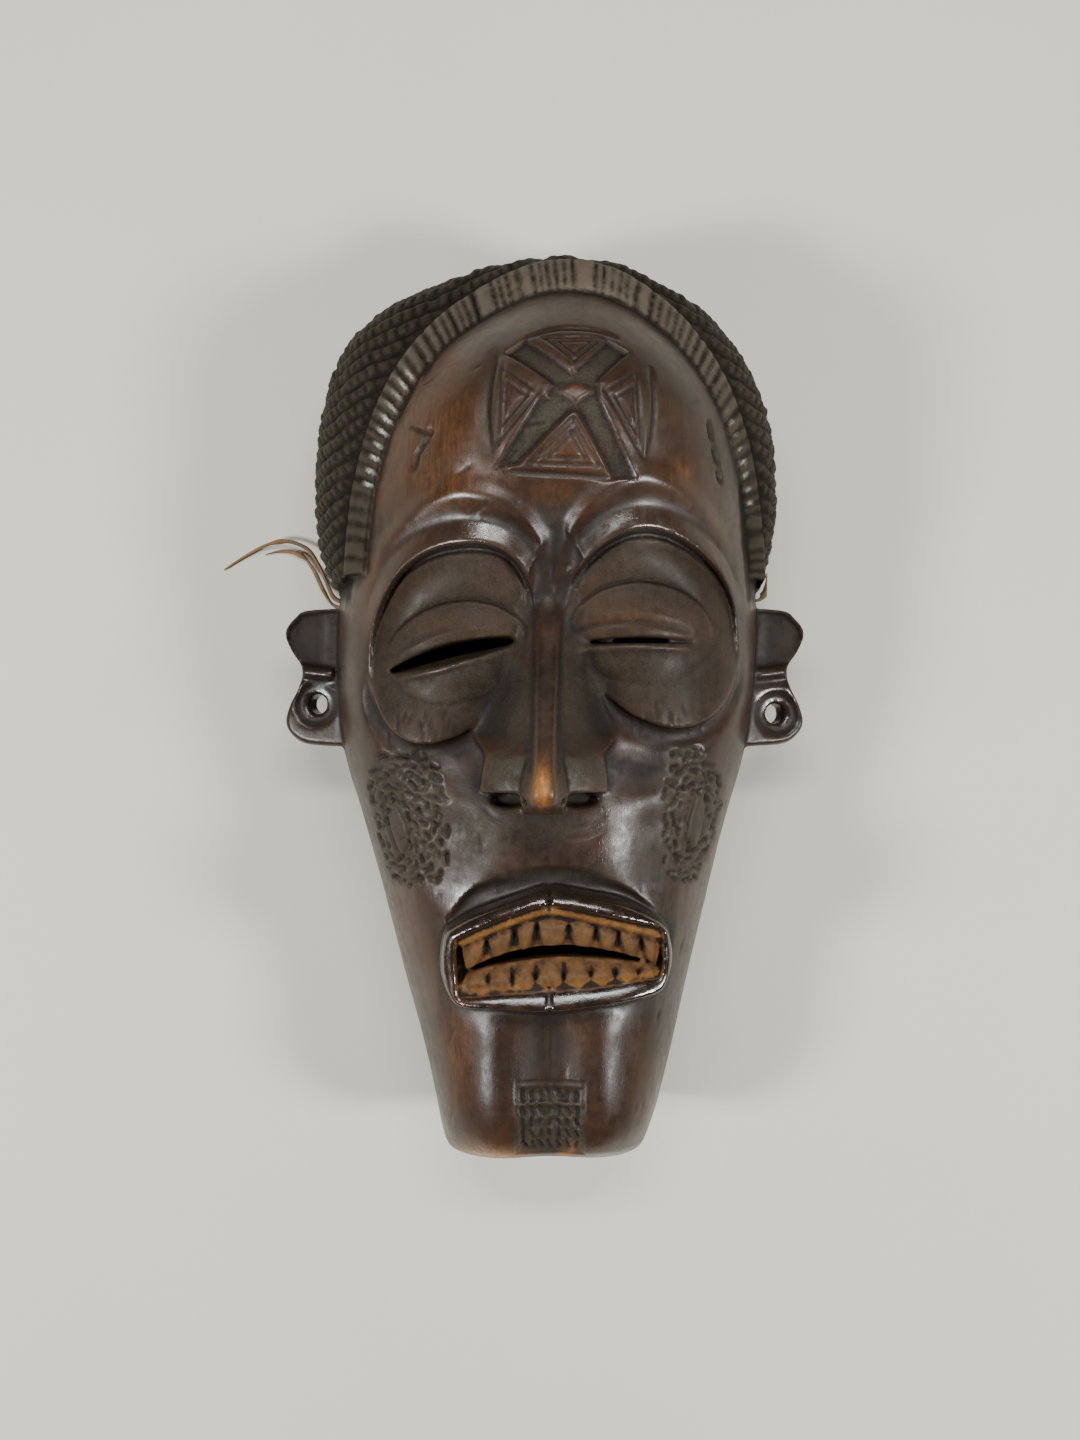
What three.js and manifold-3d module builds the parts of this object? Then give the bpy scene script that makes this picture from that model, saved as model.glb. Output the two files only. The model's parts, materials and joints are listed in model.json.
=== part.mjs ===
// Chokwe mask, carved from one block of wood and lying face up on its rim, with the remains of its fibre ties.
// Millimetres. X runs to the right of someone looking at the face, Y towards the crown, Z out of the face.
// Shapes are drawn on the carver's own centre line, and the last step moves the origin under the mask's middle.
import * as THREE from 'three';
import { mergeVertices } from 'three/addons/utils/BufferGeometryUtils.js';
import Module from 'manifold-3d';

const wasm = await Module();
wasm.setup();

const CUT_FROM = 30;
const CUT_TO = 120;

// Small tools

const lerp = (a, b, t) => a + (b - a) * t;
const radians = (degrees) => (degrees * Math.PI) / 180;
const clamp = (x, low, high) => Math.min(Math.max(x, low), high);
const flatXY = (p) => new THREE.Vector2(p.x, p.y);

// 0 before a, 1 after b, and smooth between them. With a above b it falls instead of rising.
function ease(a, b, x) {
  const t = clamp((x - a) / (b - a), 0, 1);
  return t * t * (3 - 2 * t);
}

// A smooth bump, 1 in its middle.
const hill = (distance, width) => Math.exp(-((distance / width) ** 2));

// A smooth curve through stations [position, value].
function through(stations) {
  const slope = (i) => {
    const [a, b] = [stations[Math.max(i - 1, 0)], stations[Math.min(i + 1, stations.length - 1)]];
    return (b[1] - a[1]) / (b[0] - a[0]);
  };
  return (at) => {
    const x = clamp(at, stations[0][0], stations.at(-1)[0]);
    let i = 0;
    while (i < stations.length - 2 && x > stations[i + 1][0]) i += 1;
    const [[x0, v0], [x1, v1]] = [stations[i], stations[i + 1]];
    const span = x1 - x0;
    const t = (x - x0) / span;
    const bend = slope(i) * span * t * (1 - t) ** 2 - slope(i + 1) * span * (1 - t) * t ** 2;
    return v0 + (v1 - v0) * t * t * (3 - 2 * t) + bend;
  };
}

// A closed solid through rings that all have the same number of points, with flat ends.
// flatten gives the two coordinates in which an end is flat.
function loft(rings, flatten) {
  const count = rings[0].length;
  const positions = rings.flat().flatMap((p) => [p.x, p.y, p.z]);
  const index = [];
  for (let r = 0; r < rings.length - 1; r += 1) {
    for (let i = 0; i < count; i += 1) {
      const [a, b] = [r * count + i, r * count + ((i + 1) % count)];
      index.push(a, b, b + count, a, b + count, a + count);
    }
  }
  const last = (rings.length - 1) * count;
  const outline = rings[0].map(flatten);
  const turned = THREE.ShapeUtils.isClockWise(outline);
  for (const [a, b, c] of THREE.ShapeUtils.triangulateShape(outline, [])) {
    index.push(...(turned ? [a, b, c] : [a, c, b]));
  }
  const lastOutline = rings.at(-1).map(flatten);
  for (const [a, b, c] of THREE.ShapeUtils.triangulateShape(lastOutline, [])) {
    index.push(...(turned ? [last + a, last + c, last + b] : [last + a, last + b, last + c]));
  }
  const geometry = new THREE.BufferGeometry();
  geometry.setAttribute('position', new THREE.Float32BufferAttribute(positions, 3));
  geometry.setIndex(index);
  return toSolid(geometry);
}

// A manifold solid of a closed geometry, turned so that its faces point out.
function toSolid(geometry) {
  const bare = geometry.index ? geometry.toNonIndexed() : geometry.clone();
  bare.deleteAttribute('normal');
  bare.deleteAttribute('uv');
  const merged = mergeVertices(bare, 1e-4);
  const vertProperties = new Float32Array(merged.attributes.position.array);
  const triVerts = new Uint32Array(merged.index.array);
  const build = () => new wasm.Manifold(new wasm.Mesh({ numProp: 3, vertProperties, triVerts }));
  const solid = build();
  if (solid.volume() > 0) return solid;
  for (let i = 0; i < triVerts.length; i += 3) {
    [triVerts[i + 1], triVerts[i + 2]] = [triVerts[i + 2], triVerts[i + 1]];
  }
  return build();
}

function toGeometry(solid) {
  const { vertProperties, triVerts } = solid.getMesh();
  const geometry = new THREE.BufferGeometry();
  geometry.setAttribute('position', new THREE.BufferAttribute(vertProperties, 3));
  geometry.setIndex(new THREE.BufferAttribute(triVerts, 1));
  return geometry;
}

// A closed curve through values that stand at even angles, starting at 0 degrees.
function around(values) {
  const step = 360 / values.length;
  const ring = (i) => values[(i + values.length) % values.length];
  return (degrees) => {
    const place = (((degrees % 360) + 360) % 360) / step;
    const i = Math.floor(place);
    const t = place - i;
    const [p, q, r, s] = [ring(i - 1), ring(i), ring(i + 1), ring(i + 2)];
    return q + 0.5 * t * (r - p + t * (2 * p - 5 * q + 4 * r - s + t * (3 * (q - r) + s - p)));
  };
}

// The block: its outline at the rim and its height, by stations [y, value] from chin to crown

const midX = through([[-121, 1], [-62, 3], [-30, 1], [5, 1], [40, 2.5], [76, 6.5], [118, 9]]);
const crownZ = through([
  [-121, 45], [-118, 52], [-108, 58], [-88, 59], [-66, 62], [-42, 66], [-20, 68], [5, 68],
  [26, 71], [45, 77], [62, 84], [78, 85], [92, 78], [104, 64], [112, 50], [118, 34],
]);
const leftX = through([
  [-121, -28], [-98, -33], [-75, -39.5], [-35, -50.5], [-10, -57.2], [15, -58.5], [45, -57], [75, -52],
  [95, -38], [108, -20], [118, -6],
]);
const rightX = through([
  [-121, 28], [-98, 35], [-75, 40.5], [-35, 50.5], [-10, 57], [15, 59.5], [45, 59.5], [75, 57],
  [95, 47], [108, 33], [118, 18],
]);
const squareness = through([
  [-121, 4], [-90, 3.3], [-60, 2.9], [-30, 2.8], [0, 3.3], [20, 3.3], [45, 2.6], [70, 2.2], [118, 2.1],
]);

// Height of the plain block over a place in the face.
function blockZ(x, y) {
  const middle = midX(y);
  const half = x < middle ? middle - leftX(y) : rightX(y) - middle;
  const out = clamp(Math.abs(x - middle) / half, 0, 1);
  const power = squareness(y);
  return crownZ(y) * (1 - out ** power) ** (1 / power);
}

// Hollows beside the nose and the two rolls of the chin, over the plain block.
function softRelief(x, y) {
  const beside = hill(Math.hypot((x + 17) / 1.3, y + 16), 8) + hill(Math.hypot((x - 25) / 1.3, y + 16), 8);
  const rolls = 1.6 * (hill(x + 13, 7) + hill(x - 15, 7)) - 1.2 * hill(x - 1, 6);
  return -3.4 * beside + rolls * ease(-76, -86, y);
}

// The block's lower end slopes in from the chin to the rim.
const chinTaper = (y, z) => 8 * ease(-104, -121, y) * ease(30, 0, z);

const FRONT_COLUMNS = [0, 0.14, 0.28, 0.42, 0.56, 0.7, 0.82, 0.92, 1];
const WALL_STEPS = [0.88, 0.68, 0.36, 0];
const FACE_ROWS = [...steps(-121, -110, 3), ...steps(-104, -12, 13), ...steps(0, 48, 5), ...steps(56, 118, 11)];

function steps(from, to, count) {
  return Array.from({ length: count + 1 }, (_, i) => lerp(from, to, i / count));
}

// The section across the face at y, from the left rim over the front to the right rim.
function faceSection(y) {
  const middle = midX(y);
  const height = crownZ(y);
  const power = squareness(y);
  const shoulder = 2 ** (-1 / power);
  const half = (edge) => {
    const front = FRONT_COLUMNS.map((c) => {
      const x = lerp(middle, edge, c * shoulder);
      return new THREE.Vector3(x, y, blockZ(x, y) + softRelief(x, y) * ease(1, 0.85, c));
    });
    const wall = WALL_STEPS.map((w) => {
      const rise = w * shoulder;
      const x = lerp(middle, edge, (1 - rise ** power) ** (1 / power));
      return new THREE.Vector3(x, y + chinTaper(y, height * rise), height * rise);
    });
    return [...front, ...wall];
  };
  return [...half(leftX(y)).slice(1).reverse(), ...half(rightX(y))];
}

const faceSolid = () => loft(FACE_ROWS.map(faceSection), (p) => new THREE.Vector2(p.x, p.z));

// Eyes: each socket is drawn round its middle by its reach every 30 degrees, from the temple over the brow

const EYES = [
  { side: -1, x: -22.7, y: 14, reach: [22.7, 23.2, 25.3, 26.6, 27.6, 22.5, 17.2, 15.5, 17.2, 21.8, 26.4, 25.2],
    tilt: 12, slit: { from: -40.2, to: -7.3, y: [[-40.2, 9], [-24, 13.6], [-7.3, 16.8]], open: 4.6 } },
  { side: 1, x: 25, y: 19, reach: [25.5, 25.6, 25.2, 25.4, 23.4, 21.3, 19.5, 17.7, 18.5, 22.5, 27.6, 28.6],
    tilt: 2, slit: { from: 8.9, to: 39.1, y: [[8.9, 16.4], [24, 17], [39.1, 16.6]], open: 2.2 } },
];
const LID = { rx: 18.3, ry: 12.5, step: 0.9, crest: 2 };
const BROW = { height: 3.2, crest: 3.6, width: 3.2 };
const CHEEK = { depth: 2.4, from: 2.5, width: 4.2 };
const socketDepth = around([-2.2, -3.4, -4.2, -4.6, -4.6, -4, -2.8, -1.6, -0.6, 0.8, 1.6, 0]);
const lidDepth = around([-1.6, -2, -2.2, -2.2, -2.2, -2.2, -1.8, -1.2, -0.4, 0.2, 0.4, -0.6]);

// Reach of the lids from the eye's middle, an oval that is higher at the nose end.
function lidReach(eye, degrees) {
  const a = radians(degrees + eye.tilt);
  const oval = 1 / Math.hypot(Math.cos(a) / LID.rx, Math.sin(a) / LID.ry);
  return Math.min(oval, 0.9 * around(eye.reach)(degrees));
}

// The brow is broad over the eye and narrow at the temple and over the bridge of the nose.
const spread = (degrees) => 1 - 0.66 * Math.abs(Math.cos(radians(degrees))) ** 1.3;

// Height that the eye adds to the block, at an angle and a distance from its middle.
function eyeRelief(eye, degrees, distance) {
  const edge = around(eye.reach)(degrees);
  const lid = lidReach(eye, degrees);
  const beyond = (distance - edge) / spread(degrees);
  if (beyond > 0) {
    const brow = ease(2, 50, degrees) * ease(150, 132, degrees);
    const cheek = ease(205, 240, degrees) * ease(355, 325, degrees);
    return brow * BROW.height * hill(beyond - BROW.crest, BROW.width)
      - cheek * CHEEK.depth * hill(beyond - CHEEK.from, CHEEK.width);
  }
  if (distance > lid) return lerp(lidDepth(degrees), socketDepth(degrees), (distance - lid) / (edge - lid));
  const step = LID.step * ease(-20, 30, degrees) * ease(200, 150, degrees) + 0.2;
  return lerp(LID.crest, lidDepth(degrees) + step, (distance / lid) ** 2.2);
}

const EYE_SEGMENTS = 26;

function eyeRing(eye, distanceAt, heightAt) {
  return Array.from({ length: EYE_SEGMENTS }, (_, i) => {
    const degrees = (i * 360) / EYE_SEGMENTS;
    const distance = distanceAt(degrees);
    const x = eye.x + eye.side * distance * Math.cos(radians(degrees));
    const y = eye.y + distance * Math.sin(radians(degrees));
    const height = heightAt ?? blockZ(x, y) + softRelief(x, y) + eyeRelief(eye, degrees, distance);
    return new THREE.Vector3(x, y, height);
  });
}

const PATCH_REACH = 10;
const PATCH_FLOOR = 32;

// The socket with its brow and lids, as a plug for the opening that eyeOpening cuts.
function eyeSolid(eye) {
  const edge = around(eye.reach);
  const outside = (offset) => eyeRing(eye, (d) => edge(d) + offset * spread(d));
  const between = (t) => eyeRing(eye, (d) => lerp(lidReach(eye, d), edge(d), t));
  const lid = (t) => eyeRing(eye, (d) => t * lidReach(eye, d));
  const foot = eyeRing(eye, (d) => edge(d) + PATCH_REACH * spread(d), PATCH_FLOOR - 1);
  const rings = [foot, outside(PATCH_REACH), outside(7), outside(BROW.crest), outside(1.6), outside(0.2), between(0.97),
    between(0.5), between(0.04), lid(0.96), lid(0.75), lid(0.5), lid(0.2)];
  return loft(rings, flatXY);
}

function eyeOpening(eye) {
  const reach = (d) => around(eye.reach)(d) + (PATCH_REACH - 0.1) * spread(d);
  return loft([eyeRing(eye, reach, PATCH_FLOOR), eyeRing(eye, reach, CUT_TO)], flatXY);
}

function eyeSlit({ slit }) {
  const line = through(slit.y);
  const gap = (x) => (slit.open / 2) * Math.sin((Math.PI * (x - slit.from)) / (slit.to - slit.from)) ** 0.8;
  const xs = steps(slit.from, slit.to, 8);
  const upper = xs.map((x) => [x, line(x) + gap(x) + 0.1]);
  const lower = xs.map((x) => [x, line(x) - gap(x) - 0.1]).reverse();
  return throughCut([...upper, ...lower]);
}

// A cut straight through the front, with its outline in the face's plane.
function throughCut(outline) {
  const ring = (z) => outline.map(([x, y]) => new THREE.Vector3(x, y, z));
  return loft([ring(CUT_FROM), ring(CUT_TO)], flatXY);
}

// Nose: a narrow ridge that runs past the wings to a worn tip

const noseX = through([[-27, -0.4], [0, 0.2], [22, 0.8], [40, 2]]);
const ridgeZ = through([[-26.8, 84], [-24.5, 92], [-20, 94], [-8, 88], [6, 81], [18, 76], [28, 72.5], [40, 68]]);
const ridgeHalf = through([[-26.8, 2.4], [-22, 3], [-14, 2.3], [10, 2.5], [28, 2.8], [40, 3.4]]);
const wingZ = through([[-21.6, 84], [-14, 84.5], [-4, 82.5], [8, 78], [20, 73], [30, 67]]);
const wingHalf = through([[-21.6, 16.2], [-13, 15], [0, 10.5], [14, 7.5], [30, 4.5]]);
const NOSTRIL = { x: 9, y: -22.4, rx: 4.5, ry: 1.6, depth: 7 };

function noseRidge() {
  const rings = [-26.8, -25.6, -22, -14, -4, 8, 18, 28, 40].map((y) => {
    const [x, z, half] = [noseX(y), ridgeZ(y), ridgeHalf(y)];
    const flank = half * 1.6 + 1.5;
    return [[-flank, 50], [-flank, z - 9], [-half * 1.2, z - 1.6], [-half * 0.6, z], [half * 0.6, z],
      [half * 1.2, z - 1.6], [flank, z - 9], [flank, 50]].map(([dx, height]) => new THREE.Vector3(x + dx, y, height));
  });
  return loft(rings, (p) => new THREE.Vector2(p.x, p.z));
}

function noseWings() {
  const rings = [-21.6, -17, -11, -4, 4, 12, 20, 30].map((y) => {
    const [x, z, half] = [noseX(y), wingZ(y), wingHalf(y)];
    const across = steps(-1, 1, 10).map((t) => [t * half, z - 8 * Math.abs(t) ** 2.6 - 1.5 * (1 - Math.abs(t))]);
    return [[-half, 50], ...across, [half, 50]].map(([dx, height]) => new THREE.Vector3(x + dx, y, height));
  });
  return loft(rings, (p) => new THREE.Vector2(p.x, p.z));
}

// Hairdress: a notched band over the forehead and the chipped cap behind it

const NOTCHES = 52;
const BAND = { rise: 2.2, fall: 5.5, step: 2.4, notch: 1.4 };
const CHIP = { rows: 6, depth: 0.9 };
const CAP_MIDDLE = [4, 35];
const bandInner = (a) => [4 + 51.5 * Math.cos(a), 35 + 75 * Math.sin(a)];
const bandOuter = (a) => [3.4 + 57 * Math.cos(a), 35 + 84.5 * Math.sin(a)];

// The cap's edge on the ground: a squared oval that reaches below its own middle to the ears.
const CAP = { x: 0.5, y: 60, left: 66.3, right: 66, height: 64, endTurn: -26 };
const leftPower = through([[-26, 2], [0, 2.4], [35, 2.8], [65, 2.5], [90, 2.3]]);
const rightPower = through([[-26, 2], [0, 2.1], [40, 2.25], [90, 2.1]]);

function capRim(a) {
  const left = Math.cos(a) < 0;
  const degrees = lerp(CAP.endTurn, 90, (left ? Math.PI - a : a) / (Math.PI / 2));
  const power = 2 / (left ? leftPower(degrees) : rightPower(degrees));
  const [c, s] = [Math.max(Math.cos(radians(degrees)), 0), Math.sin(radians(degrees))];
  const out = (left ? -CAP.left : CAP.right) * c ** power;
  return [CAP.x + out, CAP.y + CAP.height * Math.sign(s) * Math.abs(s) ** power];
}

// Heights of the hairdress at an angle: the band's inner edge and its outer edge.
function bandHeights(a) {
  const [x, y] = bandInner(a);
  const top = blockZ(x, y) + BAND.rise;
  return [top, top - BAND.fall];
}

const inwardOf = ([x, y], share, z) => new THREE.Vector3(
  lerp(x, CAP_MIDDLE[0], share), lerp(y, CAP_MIDDLE[1], share), z);
const flatRound = (p) => new THREE.Vector2(Math.hypot(p.x - CAP_MIDDLE[0], p.y - CAP_MIDDLE[1]), p.z);

function bandSolid() {
  const rings = steps(0, Math.PI, NOTCHES * 2).map((a, j) => {
    const notch = j % 2 ? BAND.notch : 0;
    const [top, shelf] = bandHeights(a);
    const outer = bandOuter(a);
    return [inwardOf(bandInner(a), 0.05, top - 12), inwardOf(bandInner(a), 0, top - notch),
      inwardOf(outer, 0, shelf - notch), inwardOf(outer, 0, shelf - 9)];
  });
  return loft(rings, flatRound);
}

function capSolid() {
  const rings = steps(0, Math.PI, NOTCHES).map((a, j) => {
    const [top, shelf] = bandHeights(a);
    const [ox, oy] = bandOuter(a);
    const [rx, ry] = capRim(a);
    const side = steps(0, Math.PI / 2, CHIP.rows).map((w, i) => {
      const chip = i === 0 || i === CHIP.rows ? 0 : CHIP.depth * ((i + j) % 2 ? 0.3 : -1);
      const grow = 1 + chip / 60;
      const out = Math.sin(w) ** 0.85;
      const height = (shelf - BAND.step) * Math.cos(w) ** 0.85;
      return new THREE.Vector3(lerp(ox, rx, out) * grow, (lerp(oy, ry, out) - CAP.y) * grow + CAP.y, height);
    });
    return [inwardOf(bandInner(a), 0.14, 0), inwardOf(bandInner(a), 0.14, top - 14), ...side];
  });
  return loft(rings, flatRound);
}

// Mouth: lips as a raised rim, two rows of filed teeth and the slit between them

const LIP_OUTER = [
  [-23.3, -56.5], [-17.5, -53.2], [-7.1, -49.2], [1, -47], [11.9, -48.7], [21.7, -51.2], [30.1, -55.8], [32.3, -61.3],
  [32.3, -67.1], [30.1, -72.7], [24.5, -74.7], [14.1, -76.5], [1, -78], [-11.4, -77.5], [-21, -77], [-24.6, -74],
  [-26.3, -67.1], [-25.6, -59.1],
];
const LIP_INNER = [
  [-22.5, -59.3], [-17, -56.5], [-7.6, -52.7], [1, -50.5], [11.3, -52.1], [21.5, -54.5], [29.6, -56.8], [30.3, -61.6],
  [30.3, -67.1], [29.1, -69.6], [23.5, -70.2], [13.9, -71.7], [1, -72.6], [-10.7, -73.5], [-21, -74.5], [-22.3, -73.7],
  [-22.8, -67.1], [-22.8, -60.3],
];
const MOUTH_MIDDLE = [3.4, -62.8];
const LIP = { height: 9.6, floor: 6 };
const TOOTH = { rise: 2.8, gap: 0.4, slope: 1.4 };
const UPPER_TEETH = [-21, -14.9, -7.8, -2.2, 6, 12.9, 18.7, 24.6, 29];
const LOWER_TEETH = [-21, -14.7, -8.4, -2.4, 4.8, 11.7, 18, 27];
const slitY = through([[-21, -68.2], [-11.4, -64.7], [2.5, -62.4], [16.4, -63.4], [28, -66]]);
const slitHalf = through([[-21, 0.4], [-8, 1.3], [3, 1.5], [16, 1.1], [28, 0.3]]);
const upperGumY = through([[-21, -58.4], [-10, -53.8], [0.5, -50.4], [14, -52.8], [29, -56.8]]);
const lowerGumY = through([[-21, -73.4], [2.5, -73.9], [18, -72.4], [27, -69.5]]);

// The surface that the mouth rises from is flatter across than the block.
const mouthBase = (x, y) => lerp(crownZ(y), blockZ(x, y), 0.55);

// The lips are a flat rim between their two outlines, round the sunk gum.
function mouthSolid() {
  const [cx, cy] = MOUTH_MIDDLE;
  const place = (x, y, height) => new THREE.Vector3(x, y, height === null ? 25 : mouthBase(x, y) + height);
  const rim = (share, height) => LIP_OUTER.map(([x, y], i) => {
    const [ix, iy] = LIP_INNER[i];
    return place(lerp(x, ix, share), lerp(y, iy, share), height);
  });
  const gum = (scale) => LIP_INNER.map(([x, y]) => place(lerp(cx, x, scale), lerp(cy, y, scale), LIP.floor));
  return loft([rim(-0.5, null), rim(-0.5, 2), rim(0, LIP.height - 1.6), rim(0.2, LIP.height - 0.1),
    rim(0.85, LIP.height), rim(1.03, LIP.height - 1.6), gum(0.95)], flatXY);
}

// One tooth: a block whose front rises from the gum to its biting edge.
function toothSolid(from, to, gumY, biteY) {
  const rings = steps(from + TOOTH.gap, to - TOOTH.gap, 2).map((x, i) => {
    const [gum, bite] = [gumY(x), biteY(x)];
    const base = mouthBase(x, (gum + bite) / 2) + LIP.floor;
    const front = TOOTH.rise - (i === 1 ? 0 : TOOTH.slope);
    return [[gum, -14], [gum, 0.6], [lerp(gum, bite, 0.45), front], [bite, front - 0.8], [bite, -14]].map(
      ([y, z]) => new THREE.Vector3(x, y, base + z));
  });
  return loft(rings, (p) => new THREE.Vector2(p.y, p.z));
}

function teethSolids() {
  const row = (edges, gumY, biteY) => edges.slice(1).map((edge, i) => toothSolid(edges[i], edge, gumY, biteY));
  return [
    ...row(UPPER_TEETH, upperGumY, (x) => slitY(x) + slitHalf(x)),
    ...row(LOWER_TEETH, lowerGumY, (x) => slitY(x) - slitHalf(x)),
  ];
}

function mouthSlit() {
  const xs = steps(-21, 28, 7);
  const upper = xs.map((x) => [x, slitY(x) + slitHalf(x)]);
  const lower = xs.map((x) => [x, slitY(x) - slitHalf(x)]).reverse();
  return throughCut([...upper, ...lower]);
}

// The cheeks end in an edge over the mouth, with a sunk band between it and the upper lip.
const overLipY = through([[-26, -56], [-20, -48.4], [-9.7, -43.2], [2.7, -41.4], [12, -42.8], [22, -47.6], [31, -55]]);
const lipTopY = through([[-26, -58.5], [0.8, -48], [31, -57.5]]);

function lipGroove() {
  const rings = steps(-26, 31, 10).map((x, i) => {
    const [edge, lip] = [overLipY(x), lipTopY(x)];
    const depth = 3.4 * Math.sin((Math.PI * (i + 0.3)) / 10.6) ** 0.6;
    return [[edge + 0.6, 8], [edge, 0], [edge - 1.4, -depth], [lip - 2, -depth], [lip - 2, 8]].map(
      ([y, z]) => new THREE.Vector3(x, y, blockZ(x, y) + softRelief(x, y) + z));
  });
  return loft(rings, (p) => new THREE.Vector2(p.y, p.z));
}

// Ears: a lobed plate with a step across it and a dish round the hole for an ornament

const EAR = { top: 33, thick: 10, tilt: 0.22, hole: 2.9, lean: 0.2, dish: 7, dishDepth: 2, step: 10.6 };
const EAR_OUTLINE = [
  [50, 27.6], [65.5, 27.2], [69.6, 25], [72.3, 21], [70.6, 16], [67.4, 10.8], [68.4, 5.6], [71, 0.4], [72, -4.6],
  [69.4, -8.4], [64.5, -10.3], [50, -11],
];
const BORE_LENGTH = 25;
const EARS = [{ side: -1, holeX: -63.4, holeY: 1 }, { side: 1, holeX: 64.4, holeY: -1.6 }];
const earZ = (x, height) => height - EAR.tilt * (Math.abs(x) - 55);

function earSolid(ear) {
  const ring = (scale, height) => EAR_OUTLINE.map(([x, y]) => {
    const px = ear.side * lerp(59, x, scale);
    const sunk = height === EAR.top && y > EAR.step ? 2.2 : 0;
    return new THREE.Vector3(px, lerp(9, y, scale), earZ(px, height - sunk));
  });
  const plate = loft([ring(0.9, EAR.top - EAR.thick), ring(0.98, EAR.top - EAR.thick + 2),
    ring(1, EAR.top - 3.2), ring(0.95, EAR.top)], flatXY);
  return plate.subtract(earDish(ear)).subtract(earBore(ear));
}

// The dish lies square to the ear's tilted face.
function earDish({ side, holeX, holeY }) {
  const geometry = new THREE.CylinderGeometry(EAR.dish, EAR.dish * 0.6, EAR.dishDepth * 2, 12);
  geometry.rotateX(Math.PI / 2);
  geometry.rotateY(side * Math.atan(EAR.tilt));
  geometry.translate(holeX, holeY, earZ(holeX, EAR.top));
  return toSolid(geometry);
}

// The hole leans towards the head as it goes back.
function earBore({ side, holeX, holeY }) {
  const geometry = new THREE.CylinderGeometry(EAR.hole, EAR.hole, BORE_LENGTH, 12);
  geometry.rotateX(Math.PI / 2);
  geometry.rotateY(side * Math.atan(EAR.lean));
  geometry.translate(holeX, holeY, EAR.top - 2);
  return toSolid(geometry);
}

// Forehead cross: four sunk arms that meet round a small lozenge, with a sunk triangle in each field

const CROSS = { x: 7.2, y: 77.4, depth: 1.3 };
const CROSS_ARMS = [
  { angle: 140, length: 19.5, from: 3, to: 3.1 }, { angle: 231, length: 24, from: 3.9, to: 2.8 },
  { angle: 297, length: 22.5, from: 3.1, to: 3 }, { angle: 47, length: 18, from: 3.1, to: 3 },
];
const TRIANGLES = [
  { x: 7.5, y: 89, size: 3.6, point: -90 }, { x: -7.4, y: 74.2, size: 4, point: 0 },
  { x: 20, y: 74.6, size: 4.6, point: 180 }, { x: 4.8, y: 64, size: 4.4, point: 90 },
];

function armSolid({ angle, length, from, to }) {
  const [c, s] = [Math.cos(radians(angle)), Math.sin(radians(angle))];
  const rings = steps(2.8, length, 3).map((along) => {
    const half = lerp(from, to, along / length);
    const at = (across, lift) => {
      const [x, y] = [CROSS.x + c * along - s * across, CROSS.y + s * along + c * across];
      return new THREE.Vector3(x, y, blockZ(x, y) + lift);
    };
    return [at(-half, 6), at(-half, -CROSS.depth), at(half, -CROSS.depth), at(half, 6)];
  });
  return loft(rings, (p) => new THREE.Vector2((p.x - CROSS.x) * -s + (p.y - CROSS.y) * c, p.z));
}

function triangleSolid({ x, y, size, point }) {
  const ring = (lift) => [0, 120, 240].map((turn) => {
    const a = radians(point + turn);
    const [px, py] = [x + size * Math.cos(a), y + size * Math.sin(a)];
    return new THREE.Vector3(px, py, blockZ(px, py) + lift);
  });
  return loft([ring(-0.8), ring(6)], flatXY);
}

// Cheek marks: a ring of chips round a smooth oval on each cheek

const CHEEK_MARKS = [
  { x: -42.5, y: -30, rx: 6.5, ry: 10.5, chips: 9 }, { x: 43.5, y: -28, rx: 6.5, ry: 12, chips: 9 },
];
const CHEEK_CHIP = [3, 2.4, 3];

function cheekChips({ x, y, rx, ry, chips }) {
  return steps(0, 2 * Math.PI, chips).slice(1).map((a) => {
    const [px, py] = [x + rx * Math.cos(a), y + ry * Math.sin(a)];
    const lean = Math.atan2(blockZ(px - 0.5, py) - blockZ(px + 0.5, py), 1);
    const geometry = new THREE.BoxGeometry(...CHEEK_CHIP);
    geometry.rotateY(lean);
    geometry.translate(px + 0.5 * Math.sin(lean), py, blockZ(px, py) + 0.5 * Math.cos(lean));
    return toSolid(geometry);
  });
}

// Chin mark: a sunk grid

const CHIN_MARK = { left: -7.2, right: 9.6, top: -98.5, columns: 4, rows: 3, pitch: 7, bar: 1.4, depth: 1 };

function chinPits() {
  const { left, right, top, columns, rows, pitch, bar, depth } = CHIN_MARK;
  const across = (right - left) / columns;
  return Array.from({ length: columns * rows }, (_, i) => {
    const x = left + (0.5 + (i % columns)) * across;
    const y = top - (0.5 + Math.floor(i / columns)) * pitch;
    const geometry = new THREE.BoxGeometry(across - bar, pitch - bar, 8);
    geometry.translate(x, y, blockZ(x, y) + softRelief(x, y) + 4 - depth);
    return toSolid(geometry);
  });
}

// The hollow behind the face, by stations [y, value]

const hollowHalf = through([
  [-104, 19], [-96, 24], [-75, 29.5], [-35, 40], [-8, 47.5], [20, 50], [45, 52.5], [70, 52], [90, 44],
  [104, 30], [111, 18], [114, 10],
]);
const hollowZ = through([
  [-104, 26], [-98, 40], [-86, 46], [-60, 51], [-20, 54], [10, 54], [30, 56], [50, 62], [68, 68],
  [82, 68], [95, 56], [106, 36], [114, 16],
]);
const HOLLOW = { from: -104, to: 114, power: 2.5, columns: 10, rows: 14, x: 1 };

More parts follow.
